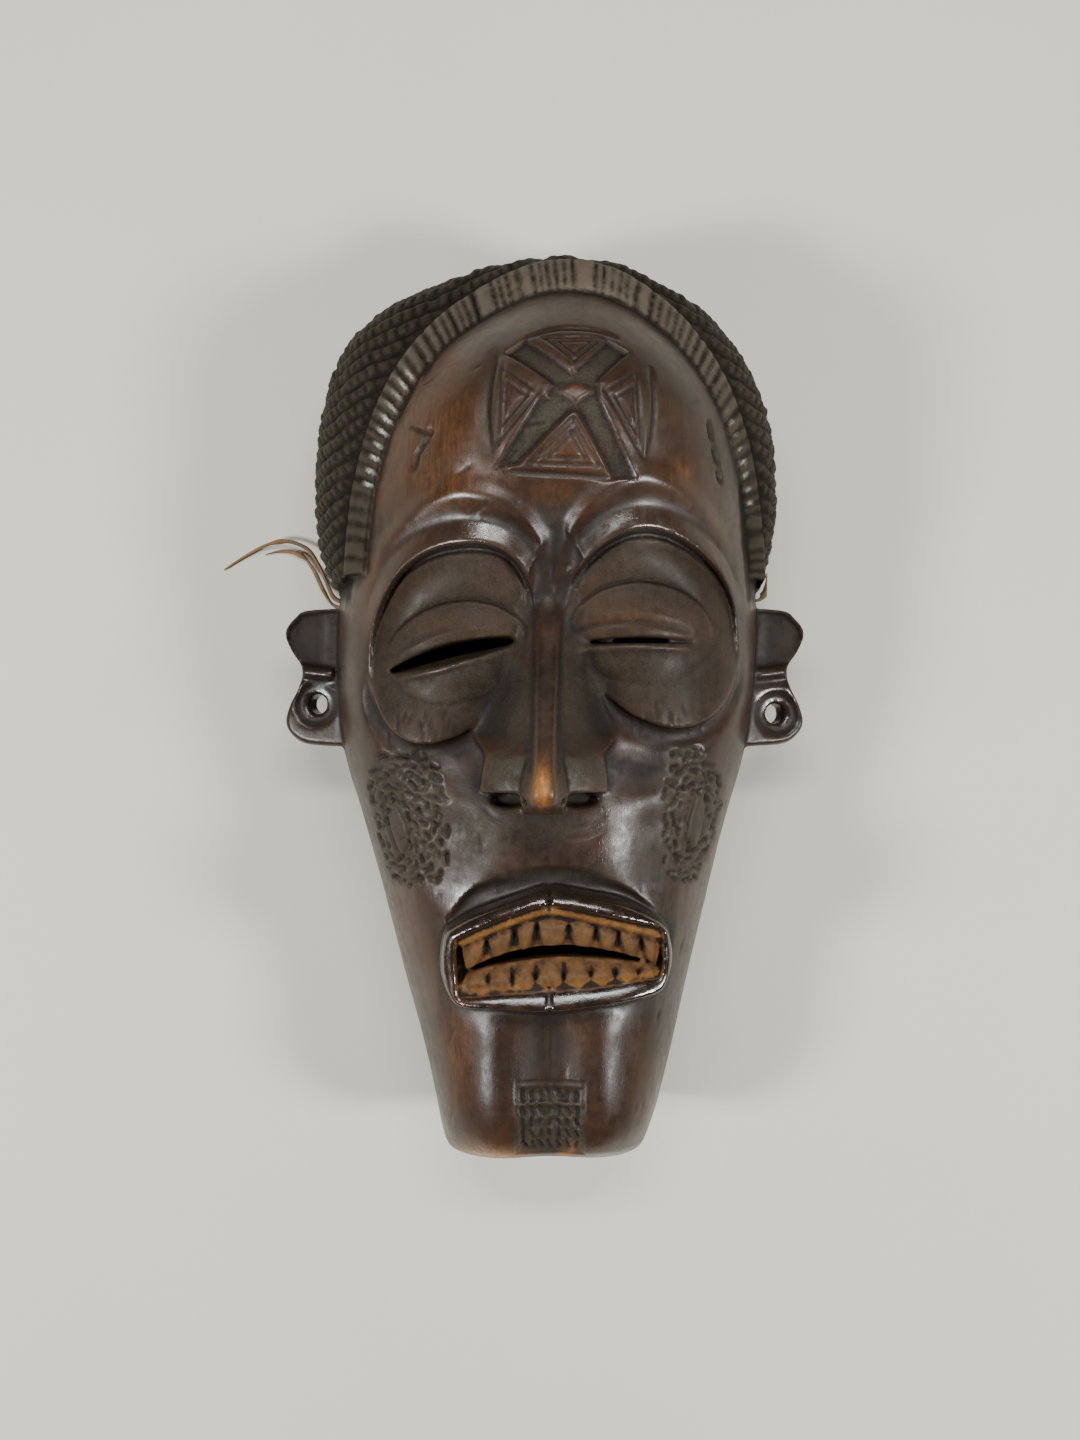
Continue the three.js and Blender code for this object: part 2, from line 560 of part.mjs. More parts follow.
function hollowSolid() {
  const rings = steps(HOLLOW.from, HOLLOW.to, HOLLOW.rows).map((y) => {
    const arch = steps(Math.PI, 0, HOLLOW.columns).map((t) => {
      const round = (v) => Math.sign(v) * Math.abs(v) ** (2 / HOLLOW.power);
      return new THREE.Vector3(HOLLOW.x + hollowHalf(y) * round(Math.cos(t)), y, hollowZ(y) * round(Math.sin(t)));
    });
    const below = (p) => new THREE.Vector3(p.x, p.y, -5);
    return [below(arch[0]), ...arch, below(arch.at(-1))];
  });
  return loft(rings, (p) => new THREE.Vector2(p.x, p.z));
}

// Fibre ties: raffia strands in a hole above each ear

const TIE_HOLES = [{ x: -57, y: 30, z: 7 }, { x: 59, y: 31, z: 7.2 }];
const TIE_HOLE_RADIUS = 2.2;
const STRAND = 1.2;
const STRAND_SIDES = 6;
const TIES = {
  tie_left_long: [
    [-47, 30.9, 7], [-57, 30.9, 7], [-61, 32, 6.6], [-63.4, 36.4, 5.4], [-66, 42, 4], [-69.4, 46.6, 3.2],
    [-75, 48.8, 3], [-81, 48, 2.4], [-87, 45.2, 1.3], [-94, 40.8, 0.8],
  ],
  tie_left_short: [
    [-47, 29.1, 7], [-57, 29.1, 6.8], [-61.4, 30, 5.4], [-64.6, 34.4, 3], [-67.6, 40.4, 1.6], [-71.2, 44.8, 1.1],
    [-76.5, 46.2, 0.9], [-82, 45.2, 0.9],
  ],
  tie_right: [
    [39, 31, 6.8], [46.4, 31, 7], [53, 31, 7], [60, 31, 7.2], [63, 32, 7.4], [64.1, 35.2, 8], [64.3, 39, 9],
  ],
};

function tieHole({ x, y, z }) {
  const geometry = new THREE.CylinderGeometry(TIE_HOLE_RADIUS, TIE_HOLE_RADIUS, 34, 12);
  geometry.rotateZ(Math.PI / 2);
  geometry.translate(x, y, z);
  return toSolid(geometry);
}

function tieGeometry(points) {
  const path = new THREE.CatmullRomCurve3(points.map((p) => new THREE.Vector3(...p)), false, 'centripetal');
  const section = new THREE.Shape(steps(0, Math.PI * 2, STRAND_SIDES).slice(1).map(
    (a) => new THREE.Vector2((STRAND / 2) * Math.cos(a), (STRAND / 2) * Math.sin(a))));
  const count = Math.ceil(path.getLength() / (STRAND * 3.4));
  return new THREE.ExtrudeGeometry(section, { steps: count, extrudePath: path, bevelEnabled: false });
}

// Assembly

function nostril(side) {
  const geometry = new THREE.CylinderGeometry(1, 1, NOSTRIL.depth, 10);
  geometry.scale(NOSTRIL.rx, 1, NOSTRIL.ry);
  geometry.translate(noseX(NOSTRIL.y) + side * NOSTRIL.x, NOSTRIL.y, wingZ(NOSTRIL.y) - 5.5);
  return toSolid(geometry);
}

function maskSolid() {
  const opened = [...EYES.map(eyeOpening), lipGroove()];
  const raised = [...EYES.map(eyeSolid), noseWings(), noseRidge(), bandSolid(), capSolid(), mouthSolid(), ...teethSolids(),
    ...EARS.map(earSolid)];
  const cut = [hollowSolid(), mouthSlit(), ...EYES.map(eyeSlit), nostril(-1), nostril(1),
    ...CROSS_ARMS.map(armSolid), ...TRIANGLES.map(triangleSolid), ...CHEEK_MARKS.flatMap(cheekChips),
    ...chinPits(), ...TIE_HOLES.map(tieHole)];
  const block = opened.reduce((rest, part) => rest.subtract(part), faceSolid());
  const whole = raised.reduce((sum, part) => sum.add(part), block);
  return cut.reduce((rest, part) => rest.subtract(part), whole);
}

const wood = new THREE.MeshStandardMaterial({ color: 0x3a231a, roughness: 0.38, metalness: 0 });
const raffia = new THREE.MeshStandardMaterial({ color: 0x8a5a26, roughness: 0.75, metalness: 0 });

const mask = new THREE.Mesh(toGeometry(maskSolid()), wood);
mask.name = 'mask';
mask.geometry.computeBoundingBox();
const middle = mask.geometry.boundingBox.getCenter(new THREE.Vector3());

const ties = Object.entries(TIES).map(([name, points]) => {
  const tie = new THREE.Mesh(tieGeometry(points), raffia);
  tie.name = name;
  return tie;
});

const part = new THREE.Group();
part.add(mask, ...ties);
part.position.set(-middle.x, -middle.y, 0);

export default part;
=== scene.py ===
import itertools
import json
import math
import random

import bpy
import numpy as np
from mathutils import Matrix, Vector

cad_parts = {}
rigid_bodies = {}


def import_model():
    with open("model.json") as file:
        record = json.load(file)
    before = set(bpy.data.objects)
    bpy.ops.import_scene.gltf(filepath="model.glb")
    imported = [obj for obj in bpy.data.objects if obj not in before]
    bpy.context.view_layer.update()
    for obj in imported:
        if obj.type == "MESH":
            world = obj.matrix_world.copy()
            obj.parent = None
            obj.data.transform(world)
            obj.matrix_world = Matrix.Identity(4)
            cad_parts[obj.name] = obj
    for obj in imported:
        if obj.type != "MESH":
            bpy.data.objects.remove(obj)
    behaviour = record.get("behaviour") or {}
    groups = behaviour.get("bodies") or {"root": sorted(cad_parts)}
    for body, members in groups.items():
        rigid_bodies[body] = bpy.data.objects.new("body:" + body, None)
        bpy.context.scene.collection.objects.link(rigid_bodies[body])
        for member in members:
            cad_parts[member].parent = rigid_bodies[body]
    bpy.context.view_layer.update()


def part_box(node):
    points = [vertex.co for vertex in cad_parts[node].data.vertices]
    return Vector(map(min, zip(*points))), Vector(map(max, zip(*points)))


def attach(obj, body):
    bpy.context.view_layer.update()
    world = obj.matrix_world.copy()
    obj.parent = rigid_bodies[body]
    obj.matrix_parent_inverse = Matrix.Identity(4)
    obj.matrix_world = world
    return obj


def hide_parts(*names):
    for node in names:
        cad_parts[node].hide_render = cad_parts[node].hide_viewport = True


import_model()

# Shapes are in the carver's millimetres, with X right, Y towards the crown and Z out of the face.
# The frame has its origin under the middle of the mask, so the carver's drawing is moved along Y to fit.
MM = 0.001
CHIN_Y = -121
CROWN_Y = 118
SHIFT_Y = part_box("mask")[0][1] / MM - CHIN_Y


def place(points):
    """The carver's millimetres as metres in the frame."""
    return (np.asarray(points, float) + (0, SHIFT_Y, 0)) * MM


# Camera: straight above the face

CAMERA = place((-1.3, -3.4, 520))
SENSOR = 36
LENS = 44.175
CLIP_START = 0.01

for spare in [o for o in bpy.data.objects if o.name in ("Cube", "Light", "Camera")]:
    bpy.data.objects.remove(spare)


def make_camera():
    data = bpy.data.cameras.new("camera")
    data.sensor_width = SENSOR
    data.lens = LENS
    data.clip_start = CLIP_START
    camera = bpy.data.objects.new("camera", data)
    camera.location = CAMERA
    bpy.context.scene.collection.objects.link(camera)
    bpy.context.scene.camera = camera


make_camera()

# Small tools


def lerp(a, b, t):
    return a + (b - a) * t


def ease(a, b, x):
    """0 before a, 1 after b, smooth between them. With a above b it falls."""
    t = np.clip((np.asarray(x, float) - a) / (b - a), 0, 1)
    return t * t * (3 - 2 * t)


def hill(distance, width):
    return np.exp(-((np.asarray(distance, float) / width) ** 2))


def through(stations):
    """A smooth curve through stations (position, value)."""
    xs, vs = np.array(stations, float).T
    before = np.maximum(np.arange(len(xs)) - 1, 0)
    after = np.minimum(np.arange(len(xs)) + 1, len(xs) - 1)
    slopes = (vs[after] - vs[before]) / (xs[after] - xs[before])

    def curve(at):
        x = np.clip(at, xs[0], xs[-1])
        i = np.clip(np.searchsorted(xs, x, side="right") - 1, 0, len(xs) - 2)
        span = xs[i + 1] - xs[i]
        t = (x - xs[i]) / span
        bend = slopes[i] * span * t * (1 - t) ** 2 - slopes[i + 1] * span * (1 - t) * t**2
        return vs[i] + (vs[i + 1] - vs[i]) * t * t * (3 - 2 * t) + bend

    return curve


def step_between(a, b, c, d, t):
    """A smooth step from b to c, where a comes before them and d after."""
    return b + 0.5 * t * (c - a + t * (2 * a - 5 * b + 4 * c - d + t * (3 * (b - c) + d - a)))


def around(values):
    """A closed smooth curve through values at even angles, from 0 degrees."""
    v = np.array(values, float)
    count = len(v)

    def curve(degrees):
        at = (np.asarray(degrees, float) % 360) * count / 360
        i = np.floor(at).astype(int)
        return step_between(*(v[(i + k) % count] for k in (-1, 0, 1, 2)), at - i)

    return curve


def smooth_line(points, per_span=8, closed=False):
    """Points of a smooth line through the given ones."""
    p = np.array(points, float)
    count = len(p)
    out = []
    for i in range(count if closed else count - 1):
        ends = [p[k % count] if closed else p[min(max(k, 0), count - 1)] for k in range(i - 1, i + 3)]
        out += [step_between(*ends, t) for t in np.arange(per_span) / per_span]
    if not closed:
        out.append(p[-1])
    return np.array(out)


SCRAMBLE = np.array([73856093, 19349663, 83492791], np.uint64)
SCRAMBLE_AGAIN = np.uint64(1274126177)
LOW_BITS = 65535


def noise(points, size, seed):
    """Smooth noise from -1 to 1 with lumps of about that size."""
    p = np.asarray(points, float) / size + seed * 7.31
    base = np.floor(p).astype(np.int64)
    f = p - base
    f = f * f * (3 - 2 * f)
    total = np.zeros(len(p))
    for corner in itertools.product((0, 1), repeat=3):
        weight = np.ones(len(p))
        for axis, side in enumerate(corner):
            weight = weight * (f[:, axis] if side else 1 - f[:, axis])
        x, y, z = ((base + corner).astype(np.uint64) * SCRAMBLE).T
        value = x ^ y ^ z
        value = (value ^ (value >> np.uint64(13))) * SCRAMBLE_AGAIN
        value = (value ^ (value >> np.uint64(16))) & np.uint64(LOW_BITS)
        total += weight * (value.astype(float) / (LOW_BITS / 2) - 1)
    return total


def noise_along(travel, row, size, seed):
    """Smooth noise along a line, different in each row."""
    return noise(points_at(travel, row, 0), size, seed)


def points_at(x, y, z):
    """Points with these coordinates, each of them many or one for all."""
    return np.column_stack(np.broadcast_arrays(x, y, z))


def with_feet(top, floor):
    """A cross-section: its top with a corner under either end."""
    left, right = ((x, y, floor) for x, y, _ in (top[0], top[-1]))
    return np.vstack([left, top, right])


def turns(count):
    """Even angles round a full turn, in radians."""
    return np.linspace(0, 2 * math.pi, count + 1)[:-1]


def oval(x, y, rx, ry, turn):
    """Points round an oval, at angles in radians."""
    return np.column_stack([x + rx * np.cos(turn), y + ry * np.sin(turn)])


def round_oval(points, x, y, rx, ry):
    """Angle and reach of points round an oval. The reach is 1 on the oval itself."""
    across, up = (points[:, 0] - x) / rx, (points[:, 1] - y) / ry
    return np.arctan2(up, across), np.hypot(across, up)


def stroke(x, y, half, turn):
    """A straight line through a place, from its half length and its angle."""
    dx, dy = half * math.cos(turn), half * math.sin(turn)
    return [(x - dx, y - dy), (x + dx, y + dy)]


# Block

mid_x = through([(-121, 1), (-62, 3), (-30, 1), (5, 1), (40, 2.5), (76, 6.5), (118, 9)])
crown_z = through([
    (-121, 45), (-118, 52), (-108, 58), (-88, 59), (-66, 62), (-42, 66), (-20, 68), (5, 68),
    (26, 71), (45, 77), (62, 84), (78, 85), (92, 78), (104, 64), (112, 50), (118, 34),
])
left_x = through([
    (-121, -28), (-98, -33), (-75, -39.5), (-35, -50.5), (-10, -57.2), (15, -58.5), (45, -57),
    (75, -52), (95, -38), (108, -20), (118, -6),
])
right_x = through([
    (-121, 28), (-98, 35), (-75, 40.5), (-35, 50.5), (-10, 57), (15, 59.5), (45, 59.5),
    (75, 57), (95, 47), (108, 33), (118, 18),
])
squareness = through([
    (-121, 4), (-90, 3.3), (-60, 2.9), (-30, 2.8), (0, 3.3), (20, 3.3), (45, 2.6), (70, 2.2), (118, 2.1),
])


def block_z(x, y):
    middle = mid_x(y)
    half = np.where(x < middle, middle - left_x(y), right_x(y) - middle)
    out = np.clip(np.abs(x - middle) / half, 0, 1)
    power = squareness(y)
    return crown_z(y) * (1 - out**power) ** (1 / power)


def soft_relief(x, y):
    """Hollows beside the nose, the round muzzle and the two rolls of the chin."""
    beside = hill(np.hypot((x + 17) / 1.3, y + 16), 8) + hill(np.hypot((x - 25) / 1.3, y + 16), 8)
    rolls = 1.6 * (hill(x + 13, 7) + hill(x - 15, 7)) - 1.2 * hill(x - 1, 6)
    muzzle = -1.7 * (hill(x + 24, 8) + hill(x - 28, 8)) * ease(-22, -31, y) * ease(-54, -45, y)
    return -3.4 * beside + rolls * ease(-76, -86, y) + muzzle


CHIN_TAPER = 8


def chin_taper(y, z):
    """How far the end of the chin draws in towards the rim."""
    return CHIN_TAPER * ease(-104, CHIN_Y, y) * ease(30, 0, z)


def to_object(rings, name):
    """A closed solid through rings of equal count, with flat ends."""
    rings = np.asarray(rings, float)
    rows, count = rings.shape[:2]
    r, i = np.meshgrid(np.arange(rows - 1), np.arange(count), indexing="ij")
    a, b = r * count + i, r * count + (i + 1) % count
    quads = np.stack([a, b, b + count, a + count], -1).reshape(-1, 4)
    points = rings.reshape(-1, 3)
    ends = [list(range(count))[::-1], list(range((rows - 1) * count, rows * count))]
    corners = [points[quads[:, k]] for k in range(4)]
    volume = sum(
        np.einsum("ij,ij->i", corners[0], np.cross(corners[k], corners[k + 1])).sum() for k in (1, 2)
    )
    for end in ends:
        fan = points[end]
        volume += np.einsum("ij,ij->i", fan[:-1], np.cross(fan[1:], fan[:1])).sum()
    if volume < 0:
        quads = quads[:, ::-1]
        ends = [end[::-1] for end in ends]
    mesh = bpy.data.meshes.new(name)
    mesh.from_pydata(points.tolist(), [], quads.tolist() + ends)
    mesh.update()
    piece = bpy.data.objects.new(name, mesh)
    bpy.context.scene.collection.objects.link(piece)
    return piece


def pillar(outline, low, high, name):
    """A straight plug with its outline in the face's plane."""
    x, y = np.asarray(outline, float).T
    return to_object([points_at(x, y, z) for z in (low, high)], name)


BLOCK_ROWS = 320
FRONT_COLUMNS = 52
WALL_COLUMNS = 46


def make_block():
    columns = np.linspace(0, 1, FRONT_COLUMNS)
    wall = np.linspace(1, 0, WALL_COLUMNS)[1:]
    rings = []
    for y in np.linspace(CHIN_Y, CROWN_Y, BLOCK_ROWS):
        middle, height, power = mid_x(y), crown_z(y), squareness(y)
        shoulder = 2 ** (-1 / power)
        halves = []
        for edge in (left_x(y), right_x(y)):
            x = lerp(middle, edge, columns * shoulder)
            front = block_z(x, y) + soft_relief(x, y) * ease(1, 0.85, columns)
            rise = wall * shoulder
            wall_x = lerp(middle, edge, (1 - rise**power) ** (1 / power))
            wall_y = y + chin_taper(y, height * rise)
            halves.append(np.concatenate([points_at(x, y, front), points_at(wall_x, wall_y, height * rise)]))
        rings.append(np.concatenate([halves[0][1:][::-1], halves[1]]))
    return to_object(rings, "block")


# Cuts through the whole of the face run between these heights.
CUT_FROM = 30
CUT_TO = 120

# Eyes

EYES = [
    dict(
        side=-1, x=-22.7, y=14, tilt=12, open=5.0, bevel=0.35, slit_from=-40.6, slit_to=-7.0,
        reach=around([22.7, 23.2, 25.3, 26.6, 27.6, 22.5, 17.2, 15.5, 17.2, 21.8, 26.4, 25.2]),
        slit_y=through([(-40.2, 9), (-24, 13.6), (-7.3, 16.8)]),
    ),
    dict(
        side=1, x=25, y=19, tilt=2, open=1.1, bevel=0.2, slit_from=7.6, slit_to=39.6,
        reach=around([25.5, 25.6, 25.2, 25.4, 23.4, 21.3, 19.5, 17.7, 18.5, 22.5, 27.6, 28.6]),
        slit_y=through([(8.9, 16.4), (24, 17), (39.1, 16.6)]),
    ),
]
LID = dict(rx=18.3, ry=12.5, step=0.8, crest=1.6)
brow_roll = through([(0, 3.1), (0.6, 3.5), (1.6, 3.2), (4.8, 1.75), (6.6, 0.7), (8.4, 0)])
SWELL = dict(height=2.3, at=12, width=4)
CHEEK = dict(depth=2.4, start=2.5, width=4.2)
SLIT_DEPTH = 5
socket_depth = around([-1.8, -2.4, -2.8, -3, -3, -2.6, -1.8, -1.2, -0.6, 0.8, 1.6, 0])
lid_depth = around([-1.2, -1.4, -1.6, -1.6, -1.6, -1.4, -1.2, -0.8, -0.2, 0.2, 0.4, -0.4])


def lid_reach(eye, degrees):
    a = np.radians(degrees + eye["tilt"])
    reach = 1 / np.hypot(np.cos(a) / LID["rx"], np.sin(a) / LID["ry"])
    return np.minimum(reach, 0.9 * eye["reach"](degrees))


def spread(degrees):
    return 1 - 0.66 * np.abs(np.cos(np.radians(degrees))) ** 1.3


def eye_relief(eye, degrees, distance):
    edge, lid = eye["reach"](degrees), lid_reach(eye, degrees)
    beyond = (distance - edge) / spread(degrees)
    brow = ease(2, 50, degrees) * ease(150, 132, degrees)
    over = ease(30, 80, degrees) * ease(155, 115, degrees)
    cheek = ease(205, 240, degrees) * ease(355, 325, degrees)
    outside = (
        brow * brow_roll(beyond)
        + over * SWELL["height"] * hill(beyond - SWELL["at"], SWELL["width"])
        - cheek * CHEEK["depth"] * hill(beyond - CHEEK["start"], CHEEK["width"])
    )
    share = np.clip((distance - lid) / np.maximum(edge - lid, 0.1), 0, 1)
    bulge = 1.3 * np.sin(np.pi * share) * ease(20, 60, degrees) * ease(170, 130, degrees)
    between = lerp(lid_depth(degrees), socket_depth(degrees), share) + bulge
    step = LID["step"] * ease(-20, 30, degrees) * ease(200, 150, degrees) + 0.2
    on_lid = lerp(LID["crest"], lid_depth(degrees) + step, np.clip(distance / lid, 0, 1) ** 2.2)
    return np.where(beyond > 0, outside, np.where(distance > lid, between, on_lid))


PATCH_REACH = 20
PATCH_UNDER = 10
PATCH_SIDE = 3.4
PATCH_FLOOR = 32
BROW_RINGS, SOCKET_RINGS, LID_RINGS = 34, 34, 30
PATCH_GAP = 0.12
TURN = np.linspace(0, 360, 241)[:-1]


def eye_ring(eye, distance, height=None):
    x = eye["x"] + eye["side"] * distance * np.cos(np.radians(TURN))
    y = eye["y"] + distance * np.sin(np.radians(TURN))
    if height is None:
        height = block_z(x, y) + soft_relief(x, y) + eye_relief(eye, TURN, distance)
    return points_at(x, y, height)


def patch_reach(eye):
    """The plug reaches far over the brow, less over the cheek and little beside the nose and the temple."""
    over = (PATCH_REACH - PATCH_SIDE) * ease(20, 60, TURN) * ease(155, 125, TURN)
    under = (PATCH_UNDER - PATCH_SIDE) * ease(195, 235, TURN) * ease(345, 305, TURN)
    return eye["reach"](TURN) + PATCH_SIDE + over + under


def make_eye(eye, name):
    edge, lid, far = eye["reach"](TURN), lid_reach(eye, TURN), patch_reach(eye)
    rings = [eye_ring(eye, far, PATCH_FLOOR - 1)]
    rings += [eye_ring(eye, lerp(edge + PATCH_GAP, far, t)) for t in np.linspace(1, 0, BROW_RINGS) ** 1.2]
    rings += [eye_ring(eye, lerp(lid, edge, t)) for t in np.linspace(0.985, 0.012, SOCKET_RINGS)]
    rings += [eye_ring(eye, lid * t) for t in np.linspace(0.985, 0.03, LID_RINGS)]
    return to_object(rings, name)


def make_eye_opening(eye, name):
    far = patch_reach(eye) - PATCH_GAP
    return to_object([eye_ring(eye, far, PATCH_FLOOR), eye_ring(eye, far, CUT_TO)], name)


def make_eye_slit(eye, name):
    """The opening of the eye. Its lower edge slopes up as it goes in."""
    x = np.linspace(eye["slit_from"], eye["slit_to"], 61)
    along = (x - x[0]) / (x[-1] - x[0])
    gap = eye["open"] / 2 * np.sin(np.pi * along) ** 0.55 + 0.28
    line = eye["slit_y"](x)
    face = block_z(x, line) + LID["crest"]
    rings = []
    for share, z in ((eye["bevel"], CUT_FROM), (eye["bevel"], face - SLIT_DEPTH), (0, face), (0, CUT_TO)):
        low = line - gap * (1 - 2 * share)
        rings.append(np.concatenate([points_at(x, line + gap, z), points_at(x, low, z)[::-1]]))
    return to_object(rings, name)


# Nose

nose_x = through([(-27, -0.4), (0, 0.2), (22, 0.8), (40, 2)])
ridge_z = through([
    (-26.8, 84), (-24.5, 92), (-20, 94), (-8, 88), (6, 81), (18, 76), (28, 72.5), (40, 68),
])
ridge_half = through([(-26.8, 2.2), (-22, 2.7), (-14, 2.1), (10, 2.5), (28, 2.8), (40, 3.4)])
wing_z = through([(-21.6, 84), (-14, 84.5), (-4, 82.5), (8, 78), (20, 73), (30, 67)])
wing_half = through([(-21.6, 16.2), (-13, 15), (0, 10.5), (14, 7.5), (30, 4.5)])
NOSE_FLOOR = 50
NOSE_ROWS = np.concatenate([np.linspace(-26.8, -22, 12), np.linspace(-21.5, 40, 80)])
WING_ROWS = np.linspace(-21.6, 30, 84)
RIDGE_COLUMNS = 41
WING_COLUMNS = 61


def make_nose_ridge():
    rings = []
    for y in NOSE_ROWS:
        x, z, half = float(nose_x(y)), float(ridge_z(y)), float(ridge_half(y))
        flank = half * 1.6 + 1.5
        drop = through([(0, 0), (half * 0.7, 0.15), (half * 1.15, 1.4), (flank, 9)])
        across = np.linspace(-flank, flank, RIDGE_COLUMNS)
        rings.append(with_feet(points_at(x + across, y, z - drop(np.abs(across))), NOSE_FLOOR))
    return to_object(rings, "nose_ridge")


def make_nose_wings():
    rings = []
    t = np.linspace(-1, 1, WING_COLUMNS)
    for y in WING_ROWS:
        x, z, half = float(nose_x(y)), float(wing_z(y)), float(wing_half(y))
        plate = float(ease(-6, -13, y))
        wide = half * lerp(1.45, 1, plate)
        face = block_z(x + t * wide, y) + soft_relief(x + t * wide, y) - 0.6
        flank = face + (z - 1 - face) * (0.5 + 0.5 * np.cos(np.pi * t)) ** 0.8
        height = lerp(flank, z - 8 * np.abs(t) ** 2.6 - 1.5 * (1 - np.abs(t)), plate)
        rings.append(with_feet(points_at(x + t * wide, y, height), NOSE_FLOOR))
    return to_object(rings, "nose_wings")


NOSTRIL = dict(x=7.8, y=-22.4, under=5.5, rx=3.8, rz=1.5, depth=7)


def make_nostril(side, name):
    y, depth = NOSTRIL["y"], NOSTRIL["depth"] / 2
    x, z = nose_x(y) + side * NOSTRIL["x"], wing_z(y) - NOSTRIL["under"]
    hole = oval(x, z, NOSTRIL["rx"], NOSTRIL["rz"], turns(24))
    return to_object([points_at(hole[:, 0], end, hole[:, 1]) for end in (y - depth, y + depth)], name)


# Hairdress: a notched band and the cap behind it, cut into small chips.
# An oval is given by its middle and its half width and half height.

NOTCHES = 64
BAND = dict(rise=2.2, fall=5.5, step=2.4, notch=1.25)
CHIP = dict(depth=1.8, row=4, pitch=3.2, slope=25, drop=0.6)
BAND_INNER = (4, 35, 51.5, 75)
BAND_OUTER = (3.4, 35, 57, 84.5)
CAP_MIDDLE = np.array(BAND_INNER[:2])
CAP = dict(x=0.5, y=60, left=66.3, right=66, height=64, end_turn=-26, rows=170, round=0.85)
left_power = through([(-26, 2), (0, 2.4), (35, 2.8), (65, 2.5), (90, 2.3)])
right_power = through([(-26, 2), (0, 2.1), (40, 2.25), (90, 2.1)])
HAIR_TURN = np.linspace(0, math.pi, 1081)


def cap_rim(a):
    left = np.cos(a) < 0
    degrees = lerp(CAP["end_turn"], 90, np.where(left, math.pi - a, a) / (math.pi / 2))
    power = 2 / np.where(left, left_power(degrees), right_power(degrees))
    c, s = np.maximum(np.cos(np.radians(degrees)), 0), np.sin(np.radians(degrees))
    x = CAP["x"] + np.where(left, -CAP["left"], CAP["right"]) * c**power
    y = CAP["y"] + CAP["height"] * np.sign(s) * np.abs(s) ** power
    return np.column_stack([x, y])


def band_heights(a):
    inner = oval(*BAND_INNER, a)
    top = block_z(inner[:, 0], inner[:, 1]) + BAND["rise"]
    return top, top - BAND["fall"]


def inward(points, share):
    return lerp(points, CAP_MIDDLE, share)


def stack_columns(columns):
    """Columns of (x, y) and z over the turn of the hairdress, as rings."""
    return np.stack([np.column_stack([xy, z]) for xy, z in columns], axis=1)


def make_band():
    a = HAIR_TURN
    top, shelf = band_heights(a)
    inner, outer = oval(*BAND_INNER, a), oval(*BAND_OUTER, a)
    phase = (a / math.pi * NOTCHES + 0.7 * noise_along(a * 30, 0, 3, 3)) % 1
    uneven = noise_along(a * 30, 9, 1.2, 4)
    notch = BAND["notch"] * (1 + 0.8 * uneven) * hill(np.minimum(phase, 1 - phase), 0.17) + 0.3 * uneven
    columns = [(inward(inner, 0.05), top - 12), (inward(inner, 0.006), top - 2.2)]
    columns.append((inner, top - 0.5 - notch * 0.6))
    for t in np.linspace(0.06, 0.94, 14):
        crown = 0.9 * math.sin(math.pi * t)
        columns.append((lerp(inner, outer, t), lerp(top, shelf, t) + crown - notch * (0.75 + 0.5 * t)))
    columns += [(outer, shelf - 0.4 - notch), (outer, shelf - 9)]
    return to_object(stack_columns(columns), "band")


def make_cap():
    a = HAIR_TURN
    top, shelf = band_heights(a)
    inner, outer, rim = oval(*BAND_INNER, a), oval(*BAND_OUTER, a), cap_rim(a)
    w = np.linspace(0, math.pi / 2, CAP["rows"])
    out = np.sin(w)[:, None, None] ** CAP["round"]
    xy = lerp(outer[None], rim[None], out)
    z = (shelf - BAND["step"])[None] * np.cos(w)[:, None] ** CAP["round"]
    surface = np.concatenate([xy, z[..., None]], -1)
    normal = np.cross(np.gradient(surface, axis=0), np.gradient(surface, axis=1))
    normal /= np.maximum(np.linalg.norm(normal, axis=-1, keepdims=True), 1e-9)
    shape, flat = z.shape, surface.reshape(-1, 3)
    bend = noise(flat, 14, 5).reshape(shape)
    rise, run = math.sin(math.radians(CHIP["slope"])), math.cos(math.radians(CHIP["slope"]))
    # v counts the rows of chips and u the chips along a row
    outward, y = np.abs(surface[..., 0] - CAP_MIDDLE[0]), surface[..., 1]
    v = (run * y + rise * outward) / CHIP["row"] + 0.3 * bend
    u = (run * outward - rise * y - CHIP["drop"] * surface[..., 2]) / CHIP["pitch"]
    u = u + 0.5 * (np.floor(v) % 2) + 0.3 * bend
    block_id = points_at(np.floor(u).ravel() * 3.7, np.floor(v).ravel() * 5.3, 0)
    lift, turn = noise(block_id, 1, 7).reshape(shape), noise(block_id, 1, 8).reshape(shape)
    # Where each place lies in its chip, across and along, from 0 to 1
    u_part, v_part = u - np.floor(u), v - np.floor(v)
    near_u, near_v = np.minimum(u_part, 1 - u_part), np.minimum(v_part, 1 - v_part)
    pit = np.maximum((0.75 + 0.25 * turn) * hill(near_v, 0.2), (0.5 + 0.4 * lift) * hill(near_u, 0.17))
    rough = noise(flat, 1.6, 9).reshape(shape)
    chip = 0.4 * lift + (0.9 + 0.5 * turn) * (v_part - 0.5) + 0.5 * turn * (u_part - 0.5) + 0.25 * rough
    chip -= CHIP["depth"] * pit
    fade = ease(0, 0.1, w)[:, None] * ease(0, 3, z)
    surface = surface + normal * (chip * fade)[..., None]
    columns = [(inward(inner, 0.14), a * 0), (inward(inner, 0.14), top - 14)]
    columns += [(surface[k, :, :2], surface[k, :, 2]) for k in range(len(w))]
    return to_object(stack_columns(columns), "cap")


# Mouth

